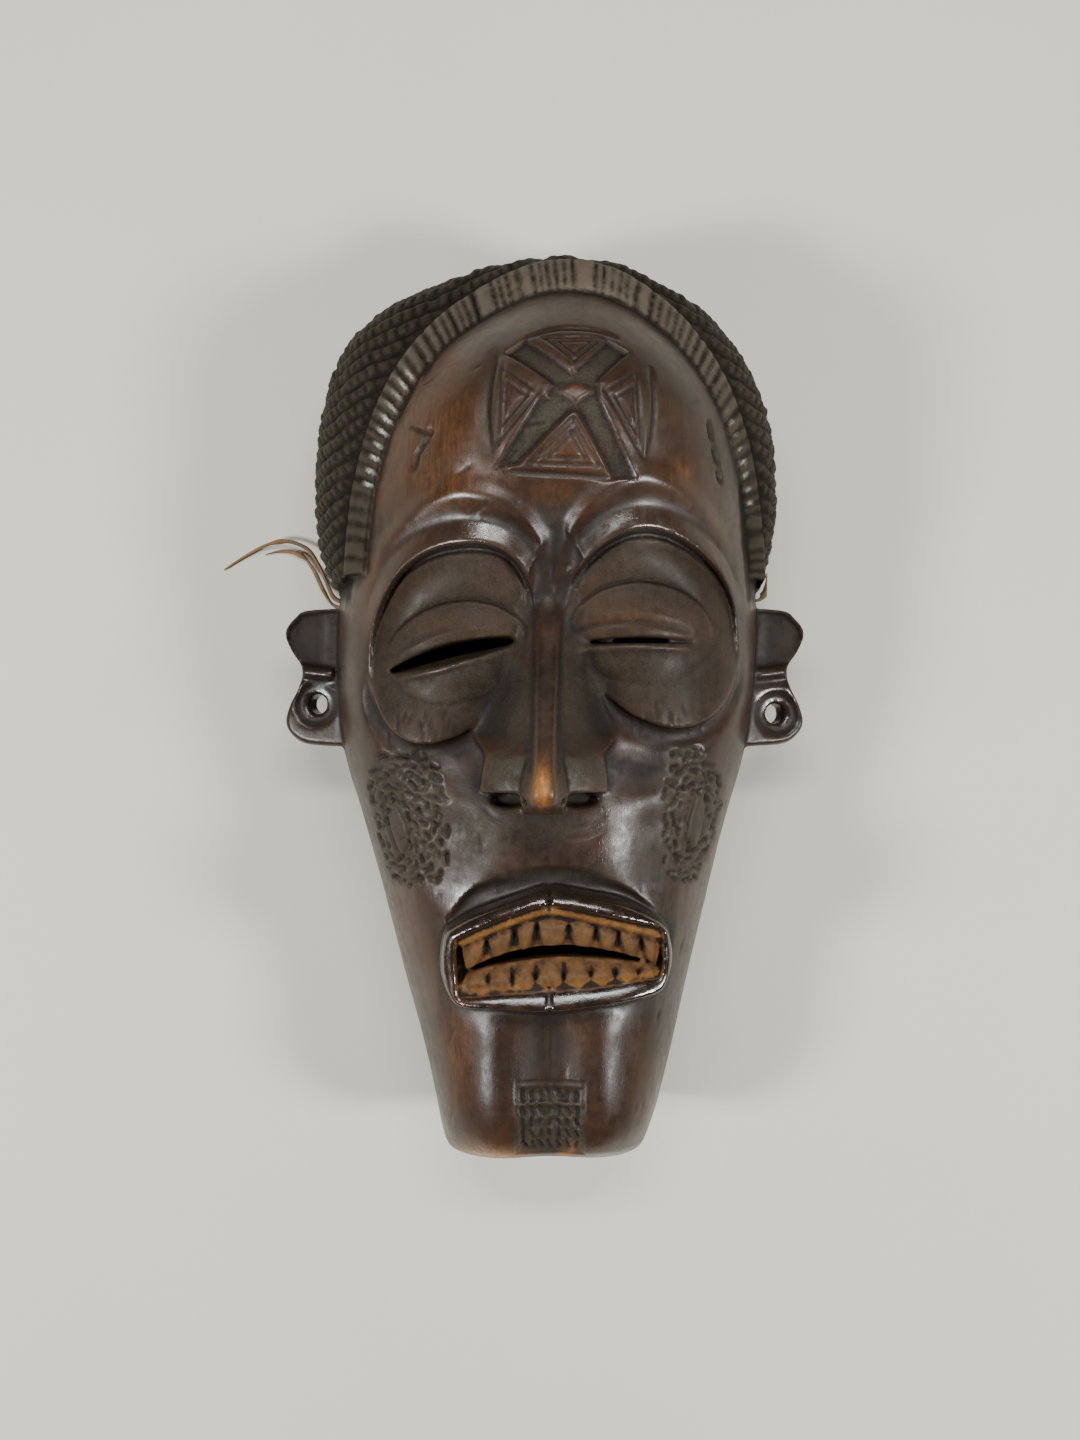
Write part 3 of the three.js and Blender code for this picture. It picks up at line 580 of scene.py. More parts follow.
LIP_OUTER = [
    (-23.3, -56.5), (-17.5, -53.2), (-7.1, -49.2), (1, -47), (11.9, -48.7), (21.7, -51.2), (30.1, -55.8),
    (32.3, -61.3), (32.3, -67.1), (30.1, -72.7), (24.5, -74.7), (14.1, -76.5), (1, -78), (-11.4, -77.5),
    (-21, -77), (-24.6, -74), (-26.3, -67.1), (-25.6, -59.1),
]
LIP_INNER = [
    (-22.5, -59.3), (-17, -56.5), (-7.6, -52.7), (1, -50.5), (11.3, -52.1), (21.5, -54.5), (29.6, -56.8),
    (30.3, -61.6), (30.3, -67.1), (29.1, -69.6), (23.5, -70.2), (13.9, -71.7), (1, -72.6), (-10.7, -73.5),
    (-21, -74.5), (-22.3, -73.7), (-22.8, -67.1), (-22.8, -60.3),
]
LIP_OUTER_LINE, LIP_INNER_LINE = smooth_line(LIP_OUTER, 4, True), smooth_line(LIP_INNER, 4, True)
MOUTH_MIDDLE = np.array([3.4, -62.8])
LIP_FLOOR = 6
LIP_PROFILE = [
    (-0.3, -30), (-0.3, 2), (-0.15, 6), (0, 8.2), (0.06, 9.3), (0.3, 9.6), (0.7, 9.7), (0.95, 9.5),
    (1, 8.2), (1.03, 4),
]
LIP_LEAN = 0.47
TOOTH = dict(rise=2.9, gap=0.05, slope=1.2)
GUM_PROFILE = [(0.9, -14), (0.9, 1.8), (-2, 2), (-2.9, 0.9), (-2.9, -14)]
UPPER_TEETH = [-21.8, -14.9, -7.8, -2.2, 6, 12.9, 18.7, 24.6, 30.4]
LOWER_TEETH = [-21.8, -14.7, -8.4, -2.4, 4.8, 11.7, 18, 24, 30.4]
TOOTH_ROWS = 17
MOUTH_COLUMNS = 60
SLIT_ENDS = (-21, 28)
GUM_ENDS = (-22.4, 30.6)
slit_y = through([(-21, -68.2), (-11.4, -64.7), (2.5, -62.4), (16.4, -63.4), (28, -66)])
slit_half = through([(-21, 0.4), (-8, 1.3), (3, 1.5), (16, 1.1), (28, 0.3)])
upper_gum_y = through([(-21, -58.4), (-10, -53.8), (0.5, -50.4), (14, -52.8), (29, -56.8)])
lower_gum_y = through([(-21, -73.4), (2.5, -73.9), (18, -72.4), (30, -69.8)])


def mouth_base(x, y):
    return lerp(crown_z(y), block_z(x, y), 0.55)


def make_lips():
    outer, inner = smooth_line(LIP_OUTER, 12, True), smooth_line(LIP_INNER, 12, True)
    middle = lerp(outer, inner, 0.5)
    rings = []
    for share, height in LIP_PROFILE:
        xy = lerp(outer, inner, share)
        lean = LIP_LEAN * (middle[:, 1] - xy[:, 1]) * (0 < share <= 1)
        rings.append(np.column_stack([xy, mouth_base(xy[:, 0], xy[:, 1]) + height + lean]))
    for scale in (0.8, 0.6, 0.4):
        xy = lerp(MOUTH_MIDDLE, inner, scale)
        rings.append(np.column_stack([xy, mouth_base(xy[:, 0], xy[:, 1]) + LIP_FLOOR]))
    return to_object(rings, "lips")


def bite_y(x, side):
    """The biting edge of the teeth, with side 1 over the slit of the mouth and -1 under it."""
    return slit_y(x) + side * slit_half(x)


def make_tooth(start, end, gum_y, side, name):
    """A filed tooth: a low pyramid that narrows towards its biting edge."""
    rings = []
    for t in np.linspace(0, 1, TOOTH_ROWS):
        x = lerp(start + TOOTH["gap"], end - TOOTH["gap"], t)
        gum, bite = float(gum_y(x)), float(bite_y(x, side))
        base = mouth_base(x, (gum + bite) / 2) + LIP_FLOOR
        ridge = TOOTH["rise"] - TOOTH["slope"] * abs(2 * t - 1)
        narrow = (t - 0.5) * 3
        profile = [
            (0, -14, 0), (0, 0.6, 0), (0.16, 1.2, 0.05), (0.25, ridge - 1, 0.15), (0.5, ridge, 0.4),
            (0.85, ridge - 1, 0.8), (1, ridge - 1.7, 1), (1, -14, 1),
        ]
        rings.append([(x - narrow * pull, lerp(gum, bite, s), base + z) for s, z, pull in profile])
    return to_object(rings, name)


def make_gum(gum_y, side, name):
    """A strip along the lip from which the teeth grow."""
    rings = []
    for x in np.linspace(*GUM_ENDS, MOUTH_COLUMNS):
        gum = float(gum_y(x))
        base = mouth_base(x, gum) + LIP_FLOOR
        rings.append([(x, gum + side * out, base + z) for out, z in GUM_PROFILE])
    return to_object(rings, name)


def make_teeth():
    rows = [("upper", 1, upper_gum_y, UPPER_TEETH), ("lower", -1, lower_gum_y, LOWER_TEETH)]
    gums = [make_gum(gum_y, side, "gum_" + name) for name, side, gum_y, _ in rows]
    return gums + [
        make_tooth(start, end, gum_y, side, f"tooth_{name}_{i}")
        for name, side, gum_y, edges in rows
        for i, (start, end) in enumerate(zip(edges, edges[1:]))
    ]


def make_mouth_slit():
    x = np.linspace(*SLIT_ENDS, MOUTH_COLUMNS)
    top, low = (np.column_stack([x, bite_y(x, side)]) for side in (1, -1))
    return pillar(np.concatenate([top, low[::-1]]), CUT_FROM, CUT_TO, "mouth_slit")


over_lip_y = through([
    (-26, -56), (-20, -48.4), (-9.7, -43.2), (2.7, -41.4), (12, -42.8), (22, -47.6), (31, -55),
])
lip_top_y = through([(-26, -58.5), (0.8, -48), (31, -57.5)])
LIP_GROOVE = 3.4


def make_lip_groove():
    """The cheeks end in an edge over the mouth, with a sunk band between it and the upper lip."""
    rings = []
    for i, x in enumerate(np.linspace(-26, 31, 81)):
        edge, lip = float(over_lip_y(x)), float(lip_top_y(x))
        depth = LIP_GROOVE * math.sin(math.pi * (i / 8 + 0.3) / 10.6) ** 0.6
        profile = [
            (edge + 0.9, 8), (edge + 0.5, 0.4), (edge - 0.2, -depth * 0.5), (edge - 1.2, -depth * 0.85),
            (edge - 2.4, -depth), (lip - 2, -depth), (lip - 2, 8),
        ]
        rings.append([(x, y, block_z(x, y) + soft_relief(x, y) + z) for y, z in profile])
    return to_object(rings, "lip_groove")


# Ears

EAR = dict(top=33, thick=10, tilt=0.22, hole=2.8, lean=0.2, dish=7, dish_depth=2.2, step=10.6)
EAR_OUTLINE = [
    (50, 27.6), (65.5, 27.2), (69.6, 25), (72.3, 21), (70.6, 16), (67.4, 10.8), (68.4, 5.6), (71, 0.4),
    (72, -4.6), (69.4, -8.4), (64.5, -10.3), (50, -11),
]
EAR_MIDDLE = np.array([59.0, 9.0])
EAR_SIDE = [
    (0.9, -EAR["thick"]), (0.95, 1.2 - EAR["thick"]), (0.985, 3 - EAR["thick"]), (1, -4.5),
    (0.998, -2.4), (0.988, -1.2), (0.975, -0.5),
]
EAR_FACE = np.linspace(0.955, 0.03, 44)
EARS = [dict(side=-1, hole_x=-63.4, hole_y=1), dict(side=1, hole_x=64.4, hole_y=-1.6)]


def ear_z(x, height):
    return height - EAR["tilt"] * (np.abs(x) - 55)


def ear_face(ear, x, y, inset):
    """Height of the ear's face over its plate, at an inset from its edge between 0 and 1."""
    away = np.hypot(x - ear["hole_x"], y - ear["hole_y"])
    step = EAR["step"] + 0.12 * (np.abs(x) - 62)
    upper = ease(step, step + 1.2, y)
    rim = ease(0.08, 0.02, inset)
    sunk = -2 * upper * (1 - 0.55 * rim)
    ledge = 0.7 * hill(y - step + 1.2, 1.1)
    dish = -EAR["dish_depth"] * ease(EAR["dish"], EAR["dish"] - 3.4, away)
    collar = 0.7 * hill(away - EAR["hole"] - 0.8, 0.7)
    trough = -0.9 * hill(y - step + 3.4, 0.9) * (1 - upper)
    return sunk + ledge + dish + collar + trough


def make_ear(ear, name):
    outline = smooth_line(EAR_OUTLINE, 10)
    rings = []
    for scale, height in EAR_SIDE + [(scale, None) for scale in EAR_FACE]:
        xy = lerp(EAR_MIDDLE, outline, scale)
        x = ear["side"] * xy[:, 0]
        if height is None:
            height = ear_face(ear, x, xy[:, 1], 1 - scale)
        rings.append(points_at(x, xy[:, 1], ear_z(x, EAR["top"] + height)))
    return to_object(rings, name)


def make_ear_bore(ear, name):
    """The hole leans towards the head as it goes back."""
    rings = []
    for z in (EAR["top"] + 12, EAR["top"] - 2, EAR["top"] - EAR["thick"] - 4):
        x = ear["hole_x"] - ear["side"] * EAR["lean"] * (EAR["top"] - 2 - z)
        rings.append(points_at(*oval(x, ear["hole_y"], EAR["hole"], EAR["hole"], turns(32)).T, z))
    return to_object(rings, name)


# Hollow behind the face, and the holes for the ties

hollow_half = through([
    (-104, 19), (-96, 24), (-75, 29.5), (-35, 40), (-8, 47.5), (20, 50), (45, 52.5), (70, 52), (90, 44),
    (104, 30), (111, 18), (114, 10),
])
hollow_z = through([
    (-104, 26), (-98, 40), (-86, 46), (-60, 51), (-20, 54), (10, 54), (30, 56), (50, 62), (68, 68),
    (82, 68), (95, 56), (106, 36), (114, 16),
])
HOLLOW_X = 1
HOLLOW_ENDS = (-104, 114)
HOLLOW_POWER = 2.5
HOLLOW_ROWS = 200
HOLLOW_COLUMNS = 120
TIE_HOLES = [(-57, 30, 7), (59, 31, 7.2)]
TIE_HOLE = dict(radius=2.2, half=17)


def hollow_curve(v):
    """The sine or cosine of a circle, as that of the hollow's squarer arch."""
    return np.sign(v) * np.abs(v) ** (2 / HOLLOW_POWER)


def make_hollow():
    turn = np.linspace(math.pi, 0, HOLLOW_COLUMNS)
    rings = []
    for y in np.linspace(*HOLLOW_ENDS, HOLLOW_ROWS):
        x = HOLLOW_X + hollow_half(y) * hollow_curve(np.cos(turn))
        rings.append(with_feet(points_at(x, y, hollow_z(y) * hollow_curve(np.sin(turn))), -5))
    return to_object(rings, "hollow")


def make_tie_hole(at, name):
    x, y, z = at
    hole = oval(y, z, TIE_HOLE["radius"], TIE_HOLE["radius"], turns(24))
    return to_object([points_at(end, *hole.T) for end in (x - TIE_HOLE["half"], x + TIE_HOLE["half"])], name)


# One solid


def carve(base, tools, operation):
    """Joins the tools to the base or cuts them from it, and removes them."""
    for tool in tools:
        change = base.modifiers.new(tool.name, "BOOLEAN")
        change.object = tool
        change.operation = operation
        change.solver = "MANIFOLD"
    apply_modifiers(base)
    for tool in tools:
        mesh = tool.data
        bpy.data.objects.remove(tool)
        bpy.data.meshes.remove(mesh)


def apply_modifiers(piece):
    mesh = bpy.data.meshes.new_from_object(piece.evaluated_get(bpy.context.evaluated_depsgraph_get()))
    old = piece.data
    piece.modifiers.clear()
    piece.data = mesh
    bpy.data.meshes.remove(old)


def make_mask():
    mask = make_block()
    sunk = [make_eye_opening(eye, f"opening_{i}") for i, eye in enumerate(EYES)] + [make_lip_groove()]
    carve(mask, sunk, "DIFFERENCE")
    raised = [make_eye(eye, f"eye_{i}") for i, eye in enumerate(EYES)]
    raised += [make_nose_wings(), make_nose_ridge(), make_band(), make_cap(), make_lips()] + make_teeth()
    raised += [make_ear(ear, f"ear_{i}") for i, ear in enumerate(EARS)]
    carve(mask, raised, "UNION")
    cut = [make_hollow(), make_mouth_slit()]
    cut += [make_nostril(-1, "nostril_left"), make_nostril(1, "nostril_right")]
    cut += [make_eye_slit(eye, f"slit_{i}") for i, eye in enumerate(EYES)]
    cut += [make_ear_bore(ear, f"bore_{i}") for i, ear in enumerate(EARS)]
    cut += [make_tie_hole(at, f"tie_hole_{i}") for i, at in enumerate(TIE_HOLES)]
    carve(mask, cut, "DIFFERENCE")
    return mask


# Carved lines and chips, as heights added to the surface of the face


def near(points, line):
    """Distance in the face's plane from points to a line, and how far along it the nearest place is."""
    line = np.asarray(line, float)
    best = np.full(len(points), 1e9)
    along = np.zeros(len(points))
    walked = 0
    for a, b in zip(line[:-1], line[1:]):
        span = b - a
        length = max(np.hypot(*span), 1e-6)
        t = np.clip((points - a) @ span / length**2, 0, 1)
        distance = np.hypot(*(points - (a + t[:, None] * span)).T)
        closer = distance < best
        best[closer] = distance[closer]
        along[closer] = walked + t[closer] * length
        walked += length
    return best, along / walked


def inside(points, outline):
    """Distance from the outline, positive inside it."""
    outline = np.asarray(outline, float)
    closed = np.vstack([outline, outline[:1]])
    distance, _ = near(points, closed)
    crossings = np.zeros(len(points), int)
    for (ax, ay), (bx, by) in zip(closed[:-1], closed[1:]):
        spans = (ay > points[:, 1]) != (by > points[:, 1])
        if ay != by:
            crossings += spans & (points[:, 0] < ax + (points[:, 1] - ay) * (bx - ax) / (by - ay))
    return np.where(crossings % 2 == 1, distance, -distance)


class Surface:
    """The front of the mask as points in the face's plane, with a change of height for each."""

    def __init__(self, points, normals):
        self.xy = points[:, :2]
        self.front = ease(0.05, 0.35, normals[:, 2]) * ease(12, 22, points[:, 2])
        self.height = np.zeros(len(points))

    def nearby(self, shape, margin):
        low, high = np.min(shape, axis=0) - margin, np.max(shape, axis=0) + margin
        return np.flatnonzero(((self.xy > low) & (self.xy < high)).all(axis=1) & (self.front > 0))

    def groove(self, line, width, depth, taper=True):
        """A round cut along a line, shallower at its ends if it tapers. A negative depth makes a ridge."""
        ids = self.nearby(line, width)
        distance, along = near(self.xy[ids], line)
        share = np.clip(1 - (distance / width) ** 2, 0, 1) ** 1.5
        if taper:
            share = share * (0.25 + 0.75 * np.sin(np.pi * np.clip(along, 0.02, 0.98)) ** 0.5)
        self.height[ids] -= depth * share * self.front[ids]

    def sink(self, outline, depth, edge=0.5):
        """Lowers everything inside an outline, with a slope that wide at its edge."""
        ids = self.nearby(outline, edge)
        share = ease(-edge / 2, edge / 2, inside(self.xy[ids], outline))
        self.height[ids] -= depth * share * self.front[ids]


MOTIF_SUNK = [
    [(-10.2, 88.9), (-5, 92.8), (6.8, 82.5), (7.2, 77), (1.6, 79.7)],
    [(7.8, 83.7), (15.5, 92), (20.9, 88.7), (12.7, 80), (7.2, 77)],
    [(-1.5, 76), (-12.4, 59.1), (-6.7, 60), (6.5, 73), (7.2, 77)],
    [(7.8, 73), (16.8, 56.6), (22.6, 56.6), (12.7, 77.3), (7.2, 77)],
    [(1.2, 79), (6.8, 82.9), (7.8, 83), (13.2, 79.6), (13.2, 76.6), (8, 72.8), (6.6, 72.8), (0.4, 76.6)],
]
MOTIF_LOZENGE = [(3.2, 78.0), (7.5, 80.4), (11.8, 78.0), (7.5, 75.0)]
MOTIF_FIELDS = [
    [(-1.5, 93), (16.4, 93.2), (7.2, 84.8)], [(-11.4, 86.4), (-12.6, 63.6), (-0.6, 77.8)],
    [(23.2, 85.2), (24.8, 60), (13.9, 78.6)], [(7.2, 71.4), (-4.9, 59.4), (14.6, 58.8)],
]
MOTIF_LINES = [
    [(-4.8, 93.0), (0.7, 94.8), (6.8, 95.5), (13.5, 94.6), (17.9, 92.8)],
    [(26.5, 84.5), (27.2, 75.9), (26.7, 68.5), (25.2, 61.8)],
    [(-12.3, 87.8), (-13.9, 80.6), (-14.4, 72.2), (-13.4, 63.5)],
    [(-9.3, 58.1), (-1.3, 57.6), (7.4, 57.2), (17.0, 56.4)],
]
TEMPLE_LINES = [
    [(-28.7, 71.9), (-29.9, 68.1), (-32.7, 64.5), (-33.2, 60.7)],
    [(-34.0, 71.6), (-31.7, 70.1), (-28.7, 69.4)], [(42.1, 73.7), (43.1, 68.5)],
    [(43.4, 67.2), (44.7, 62.9)], [(44.8, 61.8), (45.5, 58.3)],
]
WING_LINES = [
    [(-14.8, -19.6), (-14, -17.1), (-11.8, -12.9), (-8.3, -11.4), (-4.5, -10.9)],
    [(14.7, -19.6), (13.9, -17.1), (11.6, -13.4), (8.7, -11.9), (4.4, -10.9)],
]
LIP_NICKS = [[(1, -46), (1, -51.4)], [(1, -72), (1, -78.8)]]
PHILTRUM_LINES = [
    [(6, -31.5), (10.5, -30.6), (15, -28.2)], [(5, -34), (11, -33.4), (16, -31)],
    [(-9, -30), (-13, -28.6), (-16, -26)],
]


def motif_depth(xy):
    """Distance inside the crossing arms, which join at the middle, positive inside."""
    return np.max([inside(xy, outline) for outline in MOTIF_SUNK], axis=0)


def motif(surface):
    ids = surface.nearby(np.concatenate(MOTIF_SUNK), 1)
    surface.height[ids] -= 1.2 * ease(-0.35, 0.35, motif_depth(surface.xy[ids])) * surface.front[ids]
    surface.sink(MOTIF_LOZENGE, -0.7, 1.2)
    for field in MOTIF_FIELDS:
        centre = np.mean(field, axis=0)
        for scale, depth in ((0.84, 0.6), (0.46, 0.65)):
            corners = [lerp(centre, np.array(corner), scale) for corner in field]
            for start, end in zip(corners, corners[1:] + corners[:1]):
                surface.groove([lerp(start, end, -0.03), lerp(start, end, 1.03)], 0.7, depth)
    engrave(surface, map(smooth_line, MOTIF_LINES), 0.95, 0.8)
    surface.groove(smooth_line(MOTIF_LINES[2]), 3.6, 0.9)


CHIN_GRID = dict(left=-7.6, right=10.2, top=-97.9, low=-118.6, columns=7, rows=5, first=-101.8, pitch=3.3)
CHIN_CORNERS = [
    (CHIN_GRID[side], CHIN_GRID[end])
    for side, end in (("left", "top"), ("right", "top"), ("right", "low"), ("left", "low"))
]


def chin_grid(surface, rng):
    """A sunk field of small chips, with a bar along its top and one under its first row."""
    g = CHIN_GRID
    surface.sink(CHIN_CORNERS, 0.5, 0.8)
    for j in range(g["rows"]):
        y = g["first"] - g["pitch"] * (j + 0.3 * (j > 0))
        for i in range(g["columns"]):
            x = lerp(g["left"] + 1.2, g["right"] - 1.2, (i + 0.5) / g["columns"]) + rng.uniform(-0.25, 0.25)
            lean, half = rng.uniform(-0.35, 0.55), rng.uniform(0.8, 1.2)
            surface.groove([(x - lean, y + half), (x + lean, y - half)], 0.95, rng.uniform(0.7, 1.1), False)
    for y in (g["top"] - 0.9, g["first"] - 2.0):
        surface.groove([(g["left"] + 0.5, y), (g["right"] - 0.5, y)], 0.6, -0.5, False)
    for x in (g["left"] + 0.8, g["right"] - 0.8, 1.6):
        surface.groove([(x, g["top"] + 0.6), (x, g["low"])], 0.55, -0.3)
    surface.groove([(1.4, -80), (1.4, g["top"])], 0.5, 0.2)


PANEL_PITCH = 2.0
PANELS = [
    dict(
        x=-39.0, y=-32.5, rx=1.9, ry=6.4, rings=8, grow=1.95, lean=0.1, tip=17,
        outline=[
            (-45.5, -13.1), (-35.5, -9.7), (-29.2, -9.7), (-25.0, -21.8), (-23.7, -32.3), (-25.0, -42.9),
            (-27.6, -48.1), (-35.5, -48.7), (-42.1, -46.8), (-45.5, -35.0), (-48.1, -21.8),
        ],
    ),
    dict(
        x=40.4, y=-30, rx=1.8, ry=6.8, rings=8, grow=1.95, lean=-0.1, tip=-10,
        outline=[
            (31.9, -9.7), (39.8, -9.7), (46.1, -16.6), (48.4, -24.5), (46.6, -37.6), (40.8, -46.8),
            (33.4, -48.1), (30.3, -40.2), (29.2, -24.5),
        ],
    ),
]


def panel(surface, shape, rng):
    """Uneven rings of small chips round a smooth lens."""
    for ring in range(shape["rings"]):
        rx = shape["rx"] + shape["grow"] * (ring + 0.9) * 0.95
        ry = shape["ry"] + shape["grow"] * (ring + 0.6) * 1.15
        count = int(2 * math.pi * math.sqrt((rx * rx + ry * ry) / 2) / PANEL_PITCH)
        for k in range(count):
            a = 2 * math.pi * (k + rng.uniform(-0.45, 0.45)) / count + ring
            out = 1 + rng.uniform(-0.09, 0.09)
            x, y = shape["x"] + out * rx * math.cos(a), shape["y"] + out * ry * math.sin(a)
            if inside(np.array([[x, y]]), shape["outline"])[0] < 0.6:
                continue
            turn = a + math.pi / 2 + shape["lean"] + rng.uniform(-0.8, 0.8)
            chip = stroke(x, y, rng.uniform(0.2, 0.9), turn)
            surface.groove(chip, rng.uniform(0.6, 1.0), rng.uniform(0.25, 0.85), False)
    turn = np.linspace(0, 2 * math.pi, 40)
    across, along = 1.25 * shape["rx"] * np.cos(turn), 1.25 * shape["ry"] * np.sin(turn)
    c, s = math.cos(math.radians(shape["tip"])), math.sin(math.radians(shape["tip"]))
    lens = np.column_stack([shape["x"] + across * c - along * s, shape["y"] + across * s + along * c])
    surface.groove(lens, 0.7, 0.45, False)


SCRATCHES = [
    dict(at=(-31, -5), size=(13, 4), count=16, length=3.2, lean=1.45),
    dict(at=(32, -2), size=(12, 4), count=14, length=3.4, lean=1.8),
    dict(at=(3, 33), size=(4, 9), count=8, length=2.6, lean=1.2),
    dict(at=(0, -70), size=(40, 50), count=26, length=4, lean=1.6),
    dict(at=(0, 60), size=(38, 26), count=16, length=4, lean=0.4),
    dict(at=(-30, -35), size=(8, 14), count=10, length=3, lean=0.9),
]


def scratches(surface, rng):
    for patch in SCRATCHES:
        for _ in range(patch["count"]):
            x = patch["at"][0] + rng.uniform(-1, 1) * patch["size"][0]
            y = patch["at"][1] + rng.uniform(-1, 1) * patch["size"][1]
            turn = patch["lean"] + rng.uniform(-0.35, 0.35)
            line = stroke(x, y, patch["length"] * rng.uniform(0.3, 0.7), turn)
            surface.groove(line, 0.6, rng.uniform(0.12, 0.3))


def eye_lines(surface):
    """A fine raised line round each lid, and a crease at the edge of each socket."""
    for eye in EYES:
        lid, edge = lid_reach(eye, TURN), eye["reach"](TURN)
        for reach, start, end, width, depth in (
            (lid - 0.3, 15, 165, 0.7, -0.3), (lid + 0.6, 10, 170, 0.7, 0.3),
            (lid + 0.4, 200, 340, 0.9, 0.14), (edge - 0.7, 20, 160, 0.9, 0.35),
            (edge - 1.9, 35, 150, 0.6, -0.25),
        ):
            part = (TURN > start) & (TURN < end)
            surface.groove(eye_ring(eye, reach, 0)[part][:, :2], width, depth)


FOLDS = [
    ([(9, 19.6), (16, 21), (26, 21.3), (37, 19.4)], 1.1, 0.55),
    ([(11, 22.4), (24, 24), (35, 22)], 0.7, -0.25), ([(9.4, 14.7), (24, 15.1), (37.6, 14.8)], 1.0, -0.5),
    ([(-37, 7.4), (-30, 8.7), (-23, 10.3), (-13, 13.2)], 1.1, -0.6),
    ([(-38, 13.2), (-26, 18.4), (-12, 20)], 0.8, -0.3),
]
NOSTRIL_PITS = [(-9.4, -23.8), (8.8, -23.8)]
NOSTRIL_PIT = dict(rx=4.6, ry=1.7, depth=2.6, edge=1)
BRIDGE = [
    (-3.4, 26), (-3.8, 32), (-2.6, 36.4), (0.6, 40.4), (4.4, 45), (7.4, 41), (9.2, 36.8), (7.4, 31), (5, 25),
    (0.6, 21),
]
BRIDGE_LINES = [
    [(-0.6, 41.8), (-2.2, 38.2), (-4.2, 34.4), (-4.6, 31)], [(5.6, 44), (8, 40.6), (9.8, 37)],
]


def nose_lines(surface):
    """Thin grooves that set the ridge of the nose off from its flanks."""
    y = np.linspace(22, -16, 12)
    for side in (-1, 1):
        line = np.column_stack([nose_x(y) + side * (ridge_half(y) + 1.3), y])
        surface.groove(line, 0.9, 0.5)


def engrave(surface, lines, width, depth, taper=True):
    for line in lines:
        surface.groove(line, width, depth, taper)


def carve_lines(surface):
    rng = random.Random(11)
    motif(surface)
    surface.sink(BRIDGE, 1.1, 5)
    engrave(surface, map(smooth_line, BRIDGE_LINES), 0.8, -0.5)
    nose_lines(surface)
    for line, width, depth in FOLDS:
        surface.groove(smooth_line(line), width, depth)
    for x, y in NOSTRIL_PITS:
        pit = oval(x, y, NOSTRIL_PIT["rx"], NOSTRIL_PIT["ry"], turns(16))
        surface.sink(pit, NOSTRIL_PIT["depth"], NOSTRIL_PIT["edge"])
    eye_lines(surface)
    engrave(surface, TEMPLE_LINES, 1.1, 1.1)
    engrave(surface, map(smooth_line, WING_LINES), 1.1, 0.3)
    engrave(surface, LIP_NICKS, 0.8, 1.0, False)
    engrave(surface, map(smooth_line, PHILTRUM_LINES), 0.8, 0.35)
    chin_grid(surface, rng)
    for shape in PANELS:
        panel(surface, shape, rng)
    scratches(surface, rng)


# The worn surface

VOXEL = 0.52
TRIANGLES = 192000
PLAIN_TRIANGLES = 60000


def read(mesh):
    points = np.empty(len(mesh.vertices) * 3, np.float32)
    mesh.vertices.foreach_get("co", points)
    normals = np.empty(len(mesh.vertices) * 3, np.float32)
    mesh.vertices.foreach_get("normal", normals)
    return points.reshape(-1, 3).astype(float), normals.reshape(-1, 3).astype(float)


def write(mesh, points):
    mesh.vertices.foreach_set("co", points.astype(np.float32).ravel())
    mesh.update()


def edges_of(mesh):
    pairs = np.empty(len(mesh.edges) * 2, np.int32)
    mesh.edges.foreach_get("vertices", pairs)
    return pairs.reshape(-1, 2)


def relax(values, pairs, times, share=0.5):
    """Moves each value towards the mean of its neighbours, several times."""
    a, b = np.concatenate([pairs[:, 0], pairs[:, 1]]), np.concatenate([pairs[:, 1], pairs[:, 0]])
    count = np.maximum(np.bincount(a, minlength=len(values)), 1)
    out = values.copy()
    for _ in range(times):
        for k in range(values.shape[1]):
            mean = np.bincount(a, weights=out[b, k], minlength=len(values)) / count
            out[:, k] += share * (mean - out[:, k])
    return out


SOFT = [
    (2.6, 31, 7, 10, 1.0), (-4.5, 20, 4, 7, 1.0), (-7, 10, 4, 7, 1.0), (-10, 0, 5, 6, 1.0),
    (6.5, 25, 4, 7, 1.0), (8, 15, 4, 7, 1.0), (11, 5, 5, 6, 1.0), (-24, 3, 14, 3, 0.5),
    (27, 8, 14, 3, 0.5), (-22, 49.5, 16, 1.6, 0.4), (26, 52.5, 16, 1.6, 0.4), (3, -43, 24, 2.5, 0.6),
    (-14, -6, 5, 7, 0.6), (14, -6, 5, 7, 0.6),
]
SOFT_TIMES = 110


def soften(points, pairs):
    """Rounds off the places that hands have worn smooth."""
    weight = spots(points, SOFT) * (points[:, 2] > 40)
    ids = np.flatnonzero(weight > 0)
    place_of = np.full(len(points), -1)
    place_of[ids] = np.arange(len(ids))
    near_pairs = place_of[pairs]
    near_pairs = near_pairs[(near_pairs >= 0).all(axis=1)]
    smooth = relax(points[ids], near_pairs, SOFT_TIMES)
    points = points.copy()
    points[ids] += weight[ids][:, None] * (smooth - points[ids])
    return points


def in_hollow(points):
    """1 on the walls of the hollow."""
    y = points[:, 1]
    across, up = np.abs((points[:, 0] - HOLLOW_X) / hollow_half(y)), np.abs(points[:, 2] / hollow_z(y))
    reach = across**HOLLOW_POWER + up**HOLLOW_POWER
    within = (y > HOLLOW_ENDS[0] - 1) & (y < HOLLOW_ENDS[1] + 1)
    return ease(1.25, 1.12, reach) * within


GOUGE = dict(radius=40, width=6.5, length=21)


def arch(travel):
    """Rises from 0 to 1 and back within each step of 1."""
    return 1 - (2 * (travel - np.floor(travel)) - 1) ** 2


